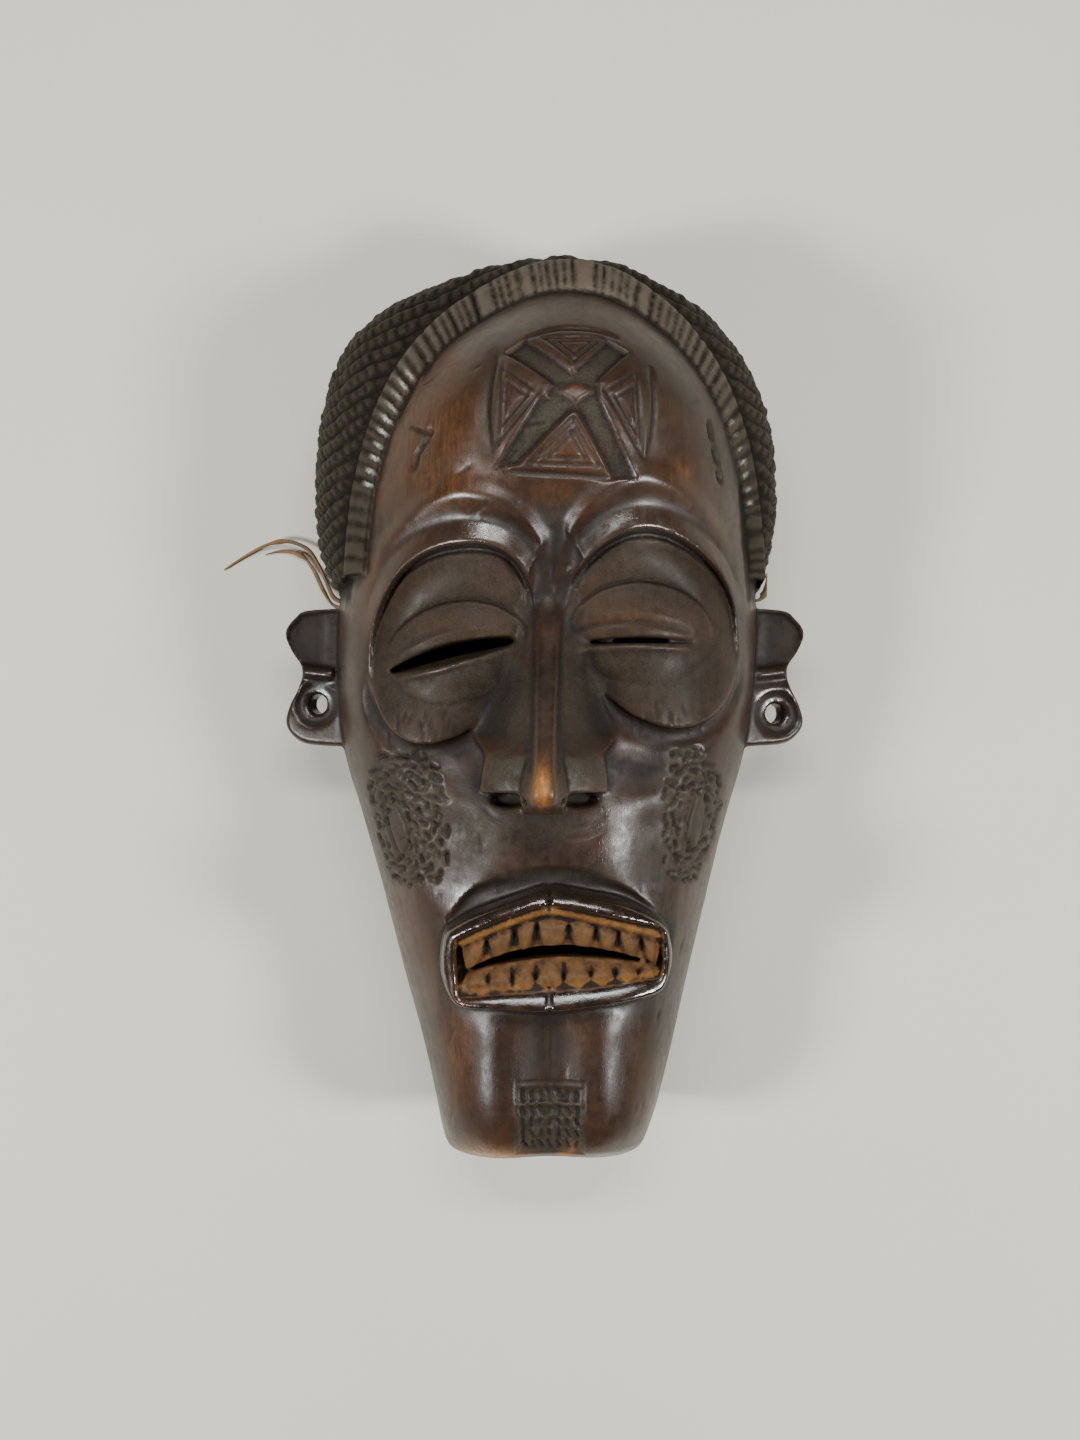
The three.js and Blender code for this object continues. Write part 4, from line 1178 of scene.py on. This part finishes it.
def gouges(points):
    """Long shallow cuts of the gouge that cleared the hollow, in rows with uneven starts."""
    across = np.arctan2(points[:, 2], points[:, 0] - HOLLOW_X) * GOUGE["radius"] / GOUGE["width"]
    across = across + 0.35 * noise(points, 18, 21)
    along = points[:, 1] / GOUGE["length"] + 0.5 * np.sin(np.floor(across) * 12.9898)
    return np.minimum(arch(across), 1.15 * arch(along + 0.2 * noise(points, 12, 22)))


def wear(mask):
    mesh = mask.data
    points, _ = read(mesh)
    pairs = edges_of(mesh)
    write(mesh, soften(relax(points, pairs, 2), pairs))
    points, normals = read(mesh)
    surface = Surface(points, normals)
    carve_lines(surface)
    hollow = in_hollow(points)
    flat = points * (1, 0.3, 1)
    marks = 0.16 * noise(points, 22, 1) + 0.07 * noise(points, 7, 2) + 0.04 * noise(flat, 1.8, 3)
    back = 0.7 * gouges(points) + 0.5 * noise(points, 30, 4)
    height = surface.height + lerp(marks, -back, hollow)
    height *= ease(0, 0.6, points[:, 2])
    points = points + normals * height[:, None]
    points[:, 2] = np.maximum(points[:, 2], 0)
    write(mesh, relax(points, pairs, 1, 0.4))


def collapse(mask, triangles, group=""):
    """Fewer triangles, taken only from a vertex group where one is named."""
    change = mask.modifiers.new("thin", "DECIMATE")
    change.ratio = triangles / (2 * len(mask.data.vertices))
    change.vertex_group = group
    apply_modifiers(mask)


def thin_out(mask):
    """The hollow and the plain sides are thinned first, so that most triangles are left for the face."""
    mesh = mask.data
    points, normals = read(mesh)
    plain = (in_hollow(points) > 0.5) | ((normals[:, 2] < 0.2) & (points[:, 2] < 30))
    mask.vertex_groups.new(name="plain").add(np.flatnonzero(plain).tolist(), 1, "REPLACE")
    collapse(mask, 2 * (len(plain) - plain.sum()) + PLAIN_TRIANGLES, "plain")
    mask.vertex_groups.clear()
    collapse(mask, TRIANGLES)


def finish_mask(mask):
    change = mask.modifiers.new("skin", "REMESH")
    change.mode = "VOXEL"
    change.voxel_size = VOXEL
    apply_modifiers(mask)
    wear(mask)
    thin_out(mask)


# Tints, as soft spots in the face's plane: (x, y, reach in x, reach in y, strength)

WARM = [
    (-29, 68, 13, 18, 1.0), (-24, 57, 15, 8, 0.9), (34, 58, 8, 6, 0.6), (7.5, 62, 9, 6, 0.6),
    (7.3, 77.6, 4, 2.4, 0.6), (-27, 88, 11, 10, 0.6), (-44, 60, 4, 16, 0.6), (6, 101, 22, 5, 0.35),
    (-46, 38, 4, 24, 0.55), (-23, -89, 5, 20, 0.9), (-17, -117, 8, 4, 0.9), (24, -96, 4, 18, 0.35),
    (-26, 21, 10, 3, 0.3), (21.5, 23, 12, 3, 0.5), (-31, -72, 5, 14, 0.4), (-37, -58, 6, 22, 0.5),
    (3.7, -87, 11, 6, 0.45), (14, -33, 8, 6, 0.3), (-17, -14, 5, 5, 0.4), (21, -10, 6, 6, 0.35),
    (-36, 43, 8, 8, 0.4), (45, 45, 4, 14, 0.3), (3, 52, 10, 5, 0.5),
]
DUSTY = [
    (-11.5, 5, 7, 12, 0.8), (10, 6, 6.5, 12, 0.8), (-9, -16, 6, 4.5, 1.0), (9.5, -16, 6, 4.5, 1.0),
    (-26.5, 2, 14, 4.5, 0.6), (29, 5, 14, 5, 0.5), (-14, 73, 2.6, 12, 0.8), (3, -44.5, 24, 3.2, 0.7),
    (-9, -2, 8, 9, 0.6), (10, -2, 7, 9, 0.55), (-31, 67, 3.4, 6, 0.6), (43.5, 66, 3, 8, 0.6),
    (26, 73, 3, 12, 0.4), (2.8, 30, 5, 9, 0.35), (4, -31, 14, 4, 0.4), (-18, -33, 8, 11, 0.75),
    (29, -40, 6, 9, 0.5), (-24, 33, 16, 7, 0.45), (24, 36, 16, 8, 0.45), (-40, 12, 5, 10, 0.4),
    (47, 15, 4, 12, 0.35),
]
CLEAN = [
    (1, -88, 15, 14, 1.0), (2.8, 33, 7, 11, 1.0), (1, 14, 3, 8, 0.7), (0.4, -76, 26, 3, 1.0),
    (0.4, -49.5, 26, 3, 0.6), (-17, -11, 4, 4, 0.8), (19, -11, 4, 4, 0.8), (-23, 45.5, 16, 3, 1.0),
    (25, 48, 16, 3, 1.0),
]
BLACK = [
    (-23, 27, 20, 14, 0.45), (25, 31, 20, 14, 0.45), (-24, 4, 18, 9, 0.6), (27, 8, 18, 9, 0.6),
    (0, -38, 26, 10, 0.5), (0, -83, 26, 6, 0.7), (-14, 6, 6, 14, 0.3), (14, 6, 6, 14, 0.3),
    (12, -112, 8, 8, 0.4), (-30, -12, 12, 8, 0.5), (32, -10, 12, 8, 0.5), (2, 36, 8, 10, 0.6),
    (18, -92, 7, 18, 0.5), (0, -96, 22, 16, 0.6), (0.4, 4, 3.4, 15, 0.8), (-64, 10, 8, 18, 0.6),
    (65, 10, 8, 18, 0.6),
]
BARE = [
    (-0.8, -19.4, 2, 4.4, 1.0), (35, 59.5, 1.4, 1.4, 0.25), (-14, -119.8, 8, 2.2, 1.0),
    (5.4, -119.5, 1.8, 1.6, 1.0), (7, -117, 1.4, 2, 0.5),
]
DULL = [
    (2, 32, 8, 12, 0.75), (1, -90, 8, 15, 0.7), (-16, -14, 8, 8, 0.6), (20, -12, 9, 8, 0.6),
    (0, 10, 5, 12, 0.6), (-52, -10, 8, 20, 0.3), (52, -10, 8, 20, 0.45), (45, 70, 12, 20, 0.4),
    (-34, 84, 14, 14, 0.3), (0, -99, 26, 24, 0.6), (-5, 46, 4, 8, 1.0), (8.5, 49, 4, 8, 1.0),
    (33, -20, 7, 14, 0.6), (28, -40, 8, 14, 0.85), (26, -28, 6, 13, 0.85), (-45, 58, 7, 24, 0.7),
    (-28, 88, 13, 12, 0.6), (6, 103, 24, 7, 0.4),
]
GLOSSY = [
    (-17, 44.5, 14, 4.5, 1.0), (21, 47, 14, 4.5, 1.0), (-24, 10, 6, 1.5, 1.0), (26, 16.6, 6, 1.5, 1.0),
    (0, -76, 24, 4, 1.0), (0, -48.5, 24, 3.5, 1.0), (16, -29, 6, 9, 0.45), (-22, 54, 10, 3, 0.5),
    (22, 56, 10, 3, 0.5), (-62, 1, 7, 8, 1.0), (64, 0, 7, 8, 1.0), (-16, -117, 6, 3.5, 1.0),
    (16, -117, 6, 3.5, 1.0),
]


def spots(points, table):
    """The strongest of the spots in a table, at each point."""
    total = np.zeros(len(points))
    for *shape, strength in table:
        total = np.maximum(total, strength * hill(round_oval(points, *shape)[1], 1))
    return total


def low_sides(points):
    """The sides behind the face."""
    return (np.abs(points[:, 0]) > 50) & (points[:, 2] < 48)


def hair_share(points):
    """1 on the band and the cap, 0 on the face."""
    a, reach = round_oval(points, *BAND_INNER)
    above = ease(0.985, 1.0, reach) * (a > -0.02)
    return np.maximum(above, low_sides(points) & (points[:, 1] > 28))


def mouth_share(points):
    """1 on the teeth and gums."""
    within = inside(points[:, :2], LIP_INNER_LINE)
    top = mouth_base(points[:, 0], points[:, 1]) + LIP_FLOOR
    return ease(-0.25, 0.15, within) * ease(top - 16, top - 12, points[:, 2])


def lip_share(points):
    """1 on the rim of the lips."""
    outside = ease(-0.8, -0.2, -inside(points[:, :2], LIP_INNER_LINE))
    within = ease(-1.2, 0, inside(points[:, :2], LIP_OUTER_LINE))
    return outside * within * (1 - mouth_share(points))


def motif_share(points):
    """1 on the sunk arms of the cross on the forehead."""
    within = ease(-0.4, 0.6, motif_depth(points[:, :2]))
    return within * (1 - ease(-0.2, 0.4, inside(points[:, :2], MOTIF_LOZENGE)))


def eye_share(points):
    """1 inside the sockets of the eyes."""
    total = np.zeros(len(points))
    for eye in EYES:
        across, up = eye["side"] * (points[:, 0] - eye["x"]), points[:, 1] - eye["y"]
        degrees = np.degrees(np.arctan2(up, across)) % 360
        total = np.maximum(total, ease(0.5, -2, np.hypot(across, up) - eye["reach"](degrees)))
    return total


PALE_DASHES = 66


def painted_glint_dashes(points):
    """Painted glints: 1 on short pale dashes by the inner edge of the band, large on its left side, faint on
    its right.
    """
    a, reach = round_oval(points, *BAND_INNER)
    uneven = noise_along(a * 30, 5, 1.5, 21)
    dash = hill((a * PALE_DASHES / math.pi) % 1 - 0.5, 0.2)
    left = ease(2.36, 2.44, a) * ease(2.98, 2.86, a) * hill(reach - 1.03, 0.02 + 0.02 * hill(a - 2.5, 0.12))
    right = 0.5 * ease(0.2, 0.26, a) * ease(0.62, 0.56, a) * hill(reach - 1.03, 0.014)
    return (left + right) * ease(0.45, 0.75, dash) * ease(-0.5, 0.1, uneven)


def panel_share(points):
    """1 on the panels of the cheeks and the chin."""
    total = np.zeros(len(points))
    for shape in PANELS:
        total = np.maximum(total, ease(-0.5, 1.5, inside(points[:, :2], shape["outline"])))
    return np.maximum(total, ease(-0.3, 0.5, inside(points[:, :2], CHIN_CORNERS)))


def paint(mask):
    """Stores what the material needs to know of each place: tints, recesses and worn edges."""
    mesh = mask.data
    points, normals = read(mesh)
    x, y, z = points.T
    pairs = edges_of(mesh)
    fine = np.einsum("ij,ij->i", points - relax(points, pairs, 4), normals)
    broad = np.einsum("ij,ij->i", points - relax(points, pairs, 50), normals)
    front = ease(-0.1, 0.3, normals[:, 2]) * ease(4, 14, z)
    hollow = in_hollow(points)
    ears = ease(60.5, 62, np.abs(x)) * ease(30, 27, y) * ease(-14, -12, y)
    lobe = ears * ease(9.5, 12, y)
    hair = hair_share(points) * (1 - ears) * (1 - hollow)
    mouth = mouth_share(points) * front
    upper = z > 20
    recess = np.clip(ease(0.02, -0.1, fine) * 0.6 + ease(0.1, -0.7, broad) * 0.7, 0, 1)
    edge = np.clip(ease(0.015, 0.09, fine) * 0.7 + ease(0.15, 0.8, broad) * 0.5, 0, 1)
    shiny = spots(points, GLOSSY) * upper
    lips, eyes = lip_share(points) * front, eye_share(points) * front
    dust = np.maximum.reduce([
        spots(points, DUSTY) * upper, 0.85 * motif_share(points) * front, 0.5 * panel_share(points) * front,
        0.3 * lobe, 0.35 * recess * (1 - mouth), 0.35 * eyes,
    ])
    dust = dust * (1 - spots(points, CLEAN) * upper)
    _, beyond_band = round_oval(points, *BAND_OUTER)
    cap = np.maximum(ease(0.99, 1.02, beyond_band), low_sides(points)) * hair
    low_band = 0.85 * hair * ease(105, 60, y)
    black = np.maximum.reduce([spots(points, BLACK) * upper, lips, cap, low_band])
    tints = {
        "warm": spots(points, WARM) * upper,
        "dust": dust * (1 - mouth),
        "bare": spots(points, BARE) * ease(30, 40, z),
        "black": black,
        "gloss": np.maximum(shiny, lips),
        # pale: painted glints by the inner edge of the band
        "pale": painted_glint_dashes(points) * hair,
        "hair": hair,
        "mouth": mouth,
        "teeth": mouth * ease(1.6, 2.6, inside(points[:, :2], LIP_INNER_LINE)),
        "hollow": hollow,
        "matt": np.maximum.reduce([eyes * (1 - shiny), lobe, 0.4 * ears, spots(points, DULL) * upper]),
        "recess": recess,
        "edge": edge,
    }
    for name, values in tints.items():
        layer = mesh.attributes.new(name, "FLOAT", "POINT")
        layer.data.foreach_set("value", np.clip(values, 0, 1).astype(np.float32))


# Materials


class Nodes:
    """Short calls for the nodes of one material."""

    def __init__(self, name):
        self.material = bpy.data.materials.new(name)
        self.material.use_nodes = True
        self.tree = self.material.node_tree
        self.shader = self.tree.nodes["Principled BSDF"]

    def add(self, kind, settings=(), **inputs):
        node = self.tree.nodes.new(kind)
        for key, value in dict(settings).items():
            setattr(node, key, value)
        for key, value in inputs.items():
            self.feed(node.inputs[key.replace("_", " ")], value)
        return node

    def feed(self, socket, value):
        if isinstance(value, bpy.types.NodeSocket):
            self.tree.links.new(value, socket)
        else:
            socket.default_value = value

    def tint(self, name):
        return self.add("ShaderNodeAttribute", {"attribute_name": name}).outputs["Fac"]

    def place(self, stretch):
        """Position in millimetres, stretched."""
        where = self.add("ShaderNodeTexCoord").outputs["Object"]
        scale = [1 / MM * s for s in stretch]
        return self.add("ShaderNodeMapping", Vector=where, Scale=scale).outputs["Vector"]

    def noise(self, where, scale, detail=4.0, roughness=0.55):
        node = self.add("ShaderNodeTexNoise", Vector=where, Scale=scale, Detail=detail, Roughness=roughness)
        return node.outputs["Fac"]

    def span(self, value, low, high, to_low=0.0, to_high=1.0):
        node = self.add("ShaderNodeMapRange", {"interpolation_type": "SMOOTHSTEP"}, Value=value)
        for key, number in (("From Min", low), ("From Max", high), ("To Min", to_low), ("To Max", to_high)):
            node.inputs[key].default_value = number
        return node.outputs["Result"]

    def math(self, operation, a, b=0.0, clamp=False):
        node = self.add("ShaderNodeMath", {"operation": operation, "use_clamp": clamp})
        self.feed(node.inputs[0], a)
        self.feed(node.inputs[1], b)
        return node.outputs["Value"]

    def times(self, a, b):
        return self.math("MULTIPLY", a, b)

    def mix(self, share, a, b):
        """The colour a where the share is 0 and b where it is 1."""
        node = self.add("ShaderNodeMix", {"data_type": "RGBA"})
        self.feed(node.inputs["Factor"], share)
        for socket, colour in ((node.inputs[6], a), (node.inputs[7], b)):
            self.feed(socket, (*colour, 1.0) if isinstance(colour, tuple) else colour)
        return node.outputs[2]

    def finish(self, colour, bump, roughness):
        inputs = {"Base Color": colour, "Normal": bump.outputs["Normal"], "Roughness": roughness}
        for key, value in inputs.items():
            self.feed(self.shader.inputs[key], value)
        return self.material


# Colours of the wood, in pairs from its dark to its light places
PATINA = (0.022, 0.0125, 0.008), (0.046, 0.026, 0.0165)
REDDISH = (0.047, 0.018, 0.0078), (0.112, 0.045, 0.013)
GUM = (0.090, 0.042, 0.015), (0.180, 0.080, 0.019)
IVORY = (0.034, 0.017, 0.009), (0.115, 0.052, 0.017)
RAW = (0.20, 0.065, 0.012), (0.46, 0.19, 0.04)
BACK = (0.040, 0.023, 0.014), (0.10, 0.057, 0.033)
GRIME = (0.030, 0.0275, 0.019), (0.062, 0.056, 0.039)
# Colours of the hair, in pairs from plain to blackened
HAIR_DEEP = (0.032, 0.0252, 0.018), (0.0095, 0.0075, 0.0052)
HAIR_BROAD = (0.085, 0.067, 0.049), (0.025, 0.0195, 0.0135)
HAIR_WORN = (0.115, 0.094, 0.070), (0.046, 0.037, 0.026)
# Single colours that are laid over the others
STREAK = (0.017, 0.010, 0.007)
BLACKENED = (0.011, 0.0065, 0.0048)
IVORY_WORN = (0.15, 0.082, 0.038)
# Painted shade: the near-black laid into grooves, pits and the gaps of the mouth
SHADE = (0.008, 0.006, 0.005)
PORE = (0.010, 0.006, 0.004)
# Painted glints: the colour of the pale dashes by the inner edge of the band
PALE = (0.62, 0.60, 0.54)


def wood_material():
    n = Nodes("carved_wood")
    even, grain, fine_grain = n.place((1, 1, 1)), n.place((1, 0.09, 1)), n.place((1, 0.16, 1))
    blotch = n.noise(even, 0.055, 5.0, 0.6)
    mottle = n.noise(even, 0.35, 5.0, 0.65)
    speck = n.noise(even, 2.2, 3.0, 0.6)
    streak = n.noise(grain, 1.1, 5.0, 0.65)
    pore = n.span(n.noise(fine_grain, 3.2, 2.0, 0.5), 0.62, 0.72)
    warm, dust, hair, mouth, bare, recess = map(n.tint, ("warm", "dust", "hair", "mouth", "bare", "recess"))
    edge, hollow, gloss, black, dull = map(n.tint, ("edge", "hollow", "gloss", "black", "matt"))

    patina = n.mix(n.span(blotch, 0.35, 0.65), *PATINA)
    patina = n.mix(n.span(streak, 0.35, 0.7, 0.0, 0.5), patina, STREAK)
    patina = n.mix(n.times(black, 0.85), patina, BLACKENED)
    reddish = n.mix(n.span(streak, 0.3, 0.7), *REDDISH)
    red_share = n.times(warm, n.span(mottle, 0.25, 0.6, 0.55, 1.0))
    edge_share = n.times(edge, n.span(mottle, 0.4, 0.65, 0.0, 0.2))
    colour = n.mix(n.math("MAXIMUM", red_share, edge_share), patina, reddish)
    deep = n.mix(black, *HAIR_DEEP)
    broad = n.mix(black, *HAIR_BROAD)
    worn = n.mix(black, *HAIR_WORN)
    cap = n.mix(n.span(mottle, 0.3, 0.7), deep, broad)
    cap = n.mix(n.times(edge, 0.7), cap, worn)
    colour = n.mix(hair, colour, cap)
    gum = n.mix(n.span(mottle, 0.3, 0.65), *GUM)
    ivory = n.mix(n.span(mottle, 0.3, 0.7), *IVORY)
    ivory = n.mix(n.times(edge, 0.35), ivory, IVORY_WORN)
    gum = n.mix(n.tint("teeth"), gum, ivory)
    colour = n.mix(mouth, colour, gum)
    raw = n.mix(n.span(streak, 0.3, 0.7), *RAW)
    bare_share = n.times(bare, n.span(mottle, 0.2, 0.5, 0.6, 1.0))
    colour = n.mix(bare_share, colour, raw)
    back = n.mix(n.span(streak, 0.3, 0.7), *BACK)
    colour = n.mix(hollow, colour, back)
    grime = n.mix(n.span(speck, 0.3, 0.7), *GRIME)
    dust_share = n.times(dust, n.span(mottle, 0.25, 0.7, 0.45, 0.95))
    colour = n.mix(dust_share, colour, grime)
    # Painted shade: grooves, pits and the gaps of the mouth darkened towards near black
    shade = n.times(recess, n.span(speck, 0.2, 0.8, 0.9, 0.6))
    shade = n.math("MAXIMUM", shade, n.times(mouth, n.span(recess, 0.35, 0.85, 0.0, 0.95)))
    colour = n.mix(shade, colour, SHADE)
    colour = n.mix(n.times(pore, 0.45), colour, PORE)
    # Painted glints: pale dashes by the inner edge of the band
    colour = n.mix(n.times(n.tint("pale"), n.span(speck, 0.3, 0.55)), colour, PALE)

    rough = n.span(mottle, 0.3, 0.7, 0.31, 0.42)
    for tint, amount in (
        (dust_share, 0.34), (hair, 0.16), (hollow, 0.3), (mouth, 0.14), (bare, 0.12), (gloss, -0.17),
    ):
        rough = n.math("ADD", rough, n.times(tint, amount))
    rough = n.math("ADD", rough, n.times(recess, 0.2), clamp=True)

    relief = n.math("ADD", n.times(streak, 0.5), n.times(speck, 0.35))
    relief = n.math("SUBTRACT", relief, n.times(pore, 0.35))
    relief = n.math("ADD", relief, n.times(n.noise(even, 0.9, 6.0, 0.7), 0.8))
    bump = n.add("ShaderNodeBump", Height=relief, Strength=0.22, Distance=0.0002)
    matt = n.times(hair, 0.8)
    for tint, amount in ((dust_share, 0.9), (hollow, 0.6), (mouth, 0.7), (dull, 0.62)):
        matt = n.math("MAXIMUM", matt, n.times(tint, amount))
    shine = n.math("ADD", 0.34, n.times(gloss, 0.6))
    n.feed(n.shader.inputs["Specular IOR Level"], n.times(shine, n.math("SUBTRACT", 1.0, matt)))
    return n.finish(colour, bump, rough)


def raffia_material():
    n = Nodes("raffia")
    along = n.place((0.35, 0.35, 0.35))
    fibre = n.noise(n.place((2.2, 2.2, 2.2)), 1.5, 4.0, 0.6)
    tone = n.noise(along, 0.6, 4.0, 0.6)
    straw = n.mix(n.span(fibre, 0.3, 0.7), (0.12, 0.060, 0.020), (0.29, 0.150, 0.050))
    colour = n.mix(n.span(tone, 0.4, 0.6, 0.0, 0.85), straw, (0.090, 0.066, 0.044))
    return n.finish(colour, n.add("ShaderNodeBump", Height=fibre, Strength=0.6, Distance=0.0002), 0.7)


def floor_material():
    n = Nodes("pale_floor")
    even = n.place((1, 1, 1))
    colour = n.mix(n.noise(even, 0.006, 3.0), (0.60, 0.59, 0.51), (0.66, 0.65, 0.565))
    n.feed(n.shader.inputs["Base Color"], colour)
    n.shader.inputs["Roughness"].default_value = 0.7
    return n.material


# Ties: strands of raffia in the holes over the ears

STRAND = 1.2
KNOT = dict(at=0.72, reach=0.035, rise=0.6)
TIES = {
    "tie_left_long": [
        (-47, 30.9, 7), (-57, 30.9, 7), (-61, 32, 6.6), (-63.4, 36.4, 5.4), (-66, 42, 4), (-69.4, 46.6, 3.2),
        (-75, 48.8, 3), (-81, 48, 2.4), (-87, 45.2, 1.3), (-94, 40.8, 0.8),
    ],
    "tie_left_short": [
        (-47, 29.1, 7), (-57, 29.1, 6.8), (-61.4, 30, 5.4), (-64.6, 34.4, 3), (-67.6, 40.4, 1.6),
        (-71.2, 44.8, 1.1), (-76.5, 46.2, 0.9), (-82, 45.2, 0.9),
    ],
    "tie_right": [
        (39, 31, 6.8), (46.4, 31, 7), (53, 31, 7), (60, 31, 7.2), (63, 32, 7.4), (64.1, 35.2, 8),
        (64.3, 39, 9),
    ],
}


def make_strand(name, points, material, seed):
    """A flat twisted fibre along a smooth route, thinner at its loose end."""
    line = smooth_line(points, 10)
    step = np.gradient(line, axis=0)
    step /= np.linalg.norm(step, axis=1, keepdims=True)
    side = np.cross(step, (0, 0, 1))
    side /= np.linalg.norm(side, axis=1, keepdims=True)
    up = np.cross(side, step)
    travel = np.linspace(0, 1, len(line))
    lumps = noise_along(travel * 40, seed, 2.5, seed)
    radius = STRAND / 2 * (1 + 0.16 * lumps + KNOT["rise"] * hill(travel - KNOT["at"], KNOT["reach"]))
    radius *= 1 - 0.6 * ease(0.75, 1, travel)
    turn = turns(12)
    twist = travel * 9 + seed
    rings = []
    for k in range(len(line)):
        wide, thin = 1.12 * radius[k] * np.cos(turn), 0.72 * radius[k] * np.sin(turn)
        c, s = math.cos(twist[k]), math.sin(twist[k])
        across = (wide * c - thin * s)[:, None] * side[k] + (wide * s + thin * c)[:, None] * up[k]
        rings.append(line[k] + across)
    piece = to_object(np.array(rings), name)
    write(piece.data, place(read(piece.data)[0]))
    for face in piece.data.polygons:
        face.use_smooth = len(face.vertices) == 4
    piece.data.materials.append(material)
    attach(piece, "root")
    return piece, place(line)


def make_ties():
    material = raffia_material()
    for seed, (name, points) in enumerate(TIES.items()):
        piece, route = make_strand("raffia_" + name, points, material, seed + 1)
        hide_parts(name)


# Light and floor, in metres. A light has its place, what it points at, its size and its power.

LIGHTS = [
    ("window", (0.0, 0.45, 1.05), (0, 0.05, 0.03), (0.75, 0.11), 8),
    ("left", (-0.76, -0.24, 0.76), (0, 0, 0.03), (0.2, 0.2), 12),
    ("right", (0.76, -0.24, 0.76), (0, 0, 0.03), (0.2, 0.2), 12),
]
SKY = 0.03
FLOOR_HALF = 1.5


def make_light(name, at, aim, size, power):
    data = bpy.data.lights.new(name, "AREA")
    data.shape = "RECTANGLE"
    data.size, data.size_y = size
    data.energy = power
    lamp = bpy.data.objects.new(name, data)
    lamp.location = at
    lamp.rotation_euler = (Vector(aim) - Vector(at)).to_track_quat("-Z", "Y").to_euler()
    bpy.context.scene.collection.objects.link(lamp)


def make_room():
    for light in LIGHTS:
        make_light(*light)
    world = bpy.data.worlds.new("room")
    world.use_nodes = True
    world.node_tree.nodes["Background"].inputs["Color"].default_value = (1, 1, 1, 1)
    world.node_tree.nodes["Background"].inputs["Strength"].default_value = SKY
    bpy.context.scene.world = world
    mesh = bpy.data.meshes.new("floor")
    corners = [(x * FLOOR_HALF, y * FLOOR_HALF, 0) for x, y in ((-1, -1), (1, -1), (1, 1), (-1, 1))]
    mesh.from_pydata(corners, [], [(0, 1, 2, 3)])
    floor = bpy.data.objects.new("floor", mesh)
    mesh.materials.append(floor_material())
    bpy.context.scene.collection.objects.link(floor)


def build():
    make_ties()
    mask = make_mask()
    finish_mask(mask)
    paint(mask)
    write(mask.data, place(read(mask.data)[0]))
    for face in mask.data.polygons:
        face.use_smooth = True
    mask.name = "carved_mask"
    mask.data.materials.clear()
    mask.data.materials.append(wood_material())
    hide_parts("mask")
    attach(mask, "root")
    make_room()


build()
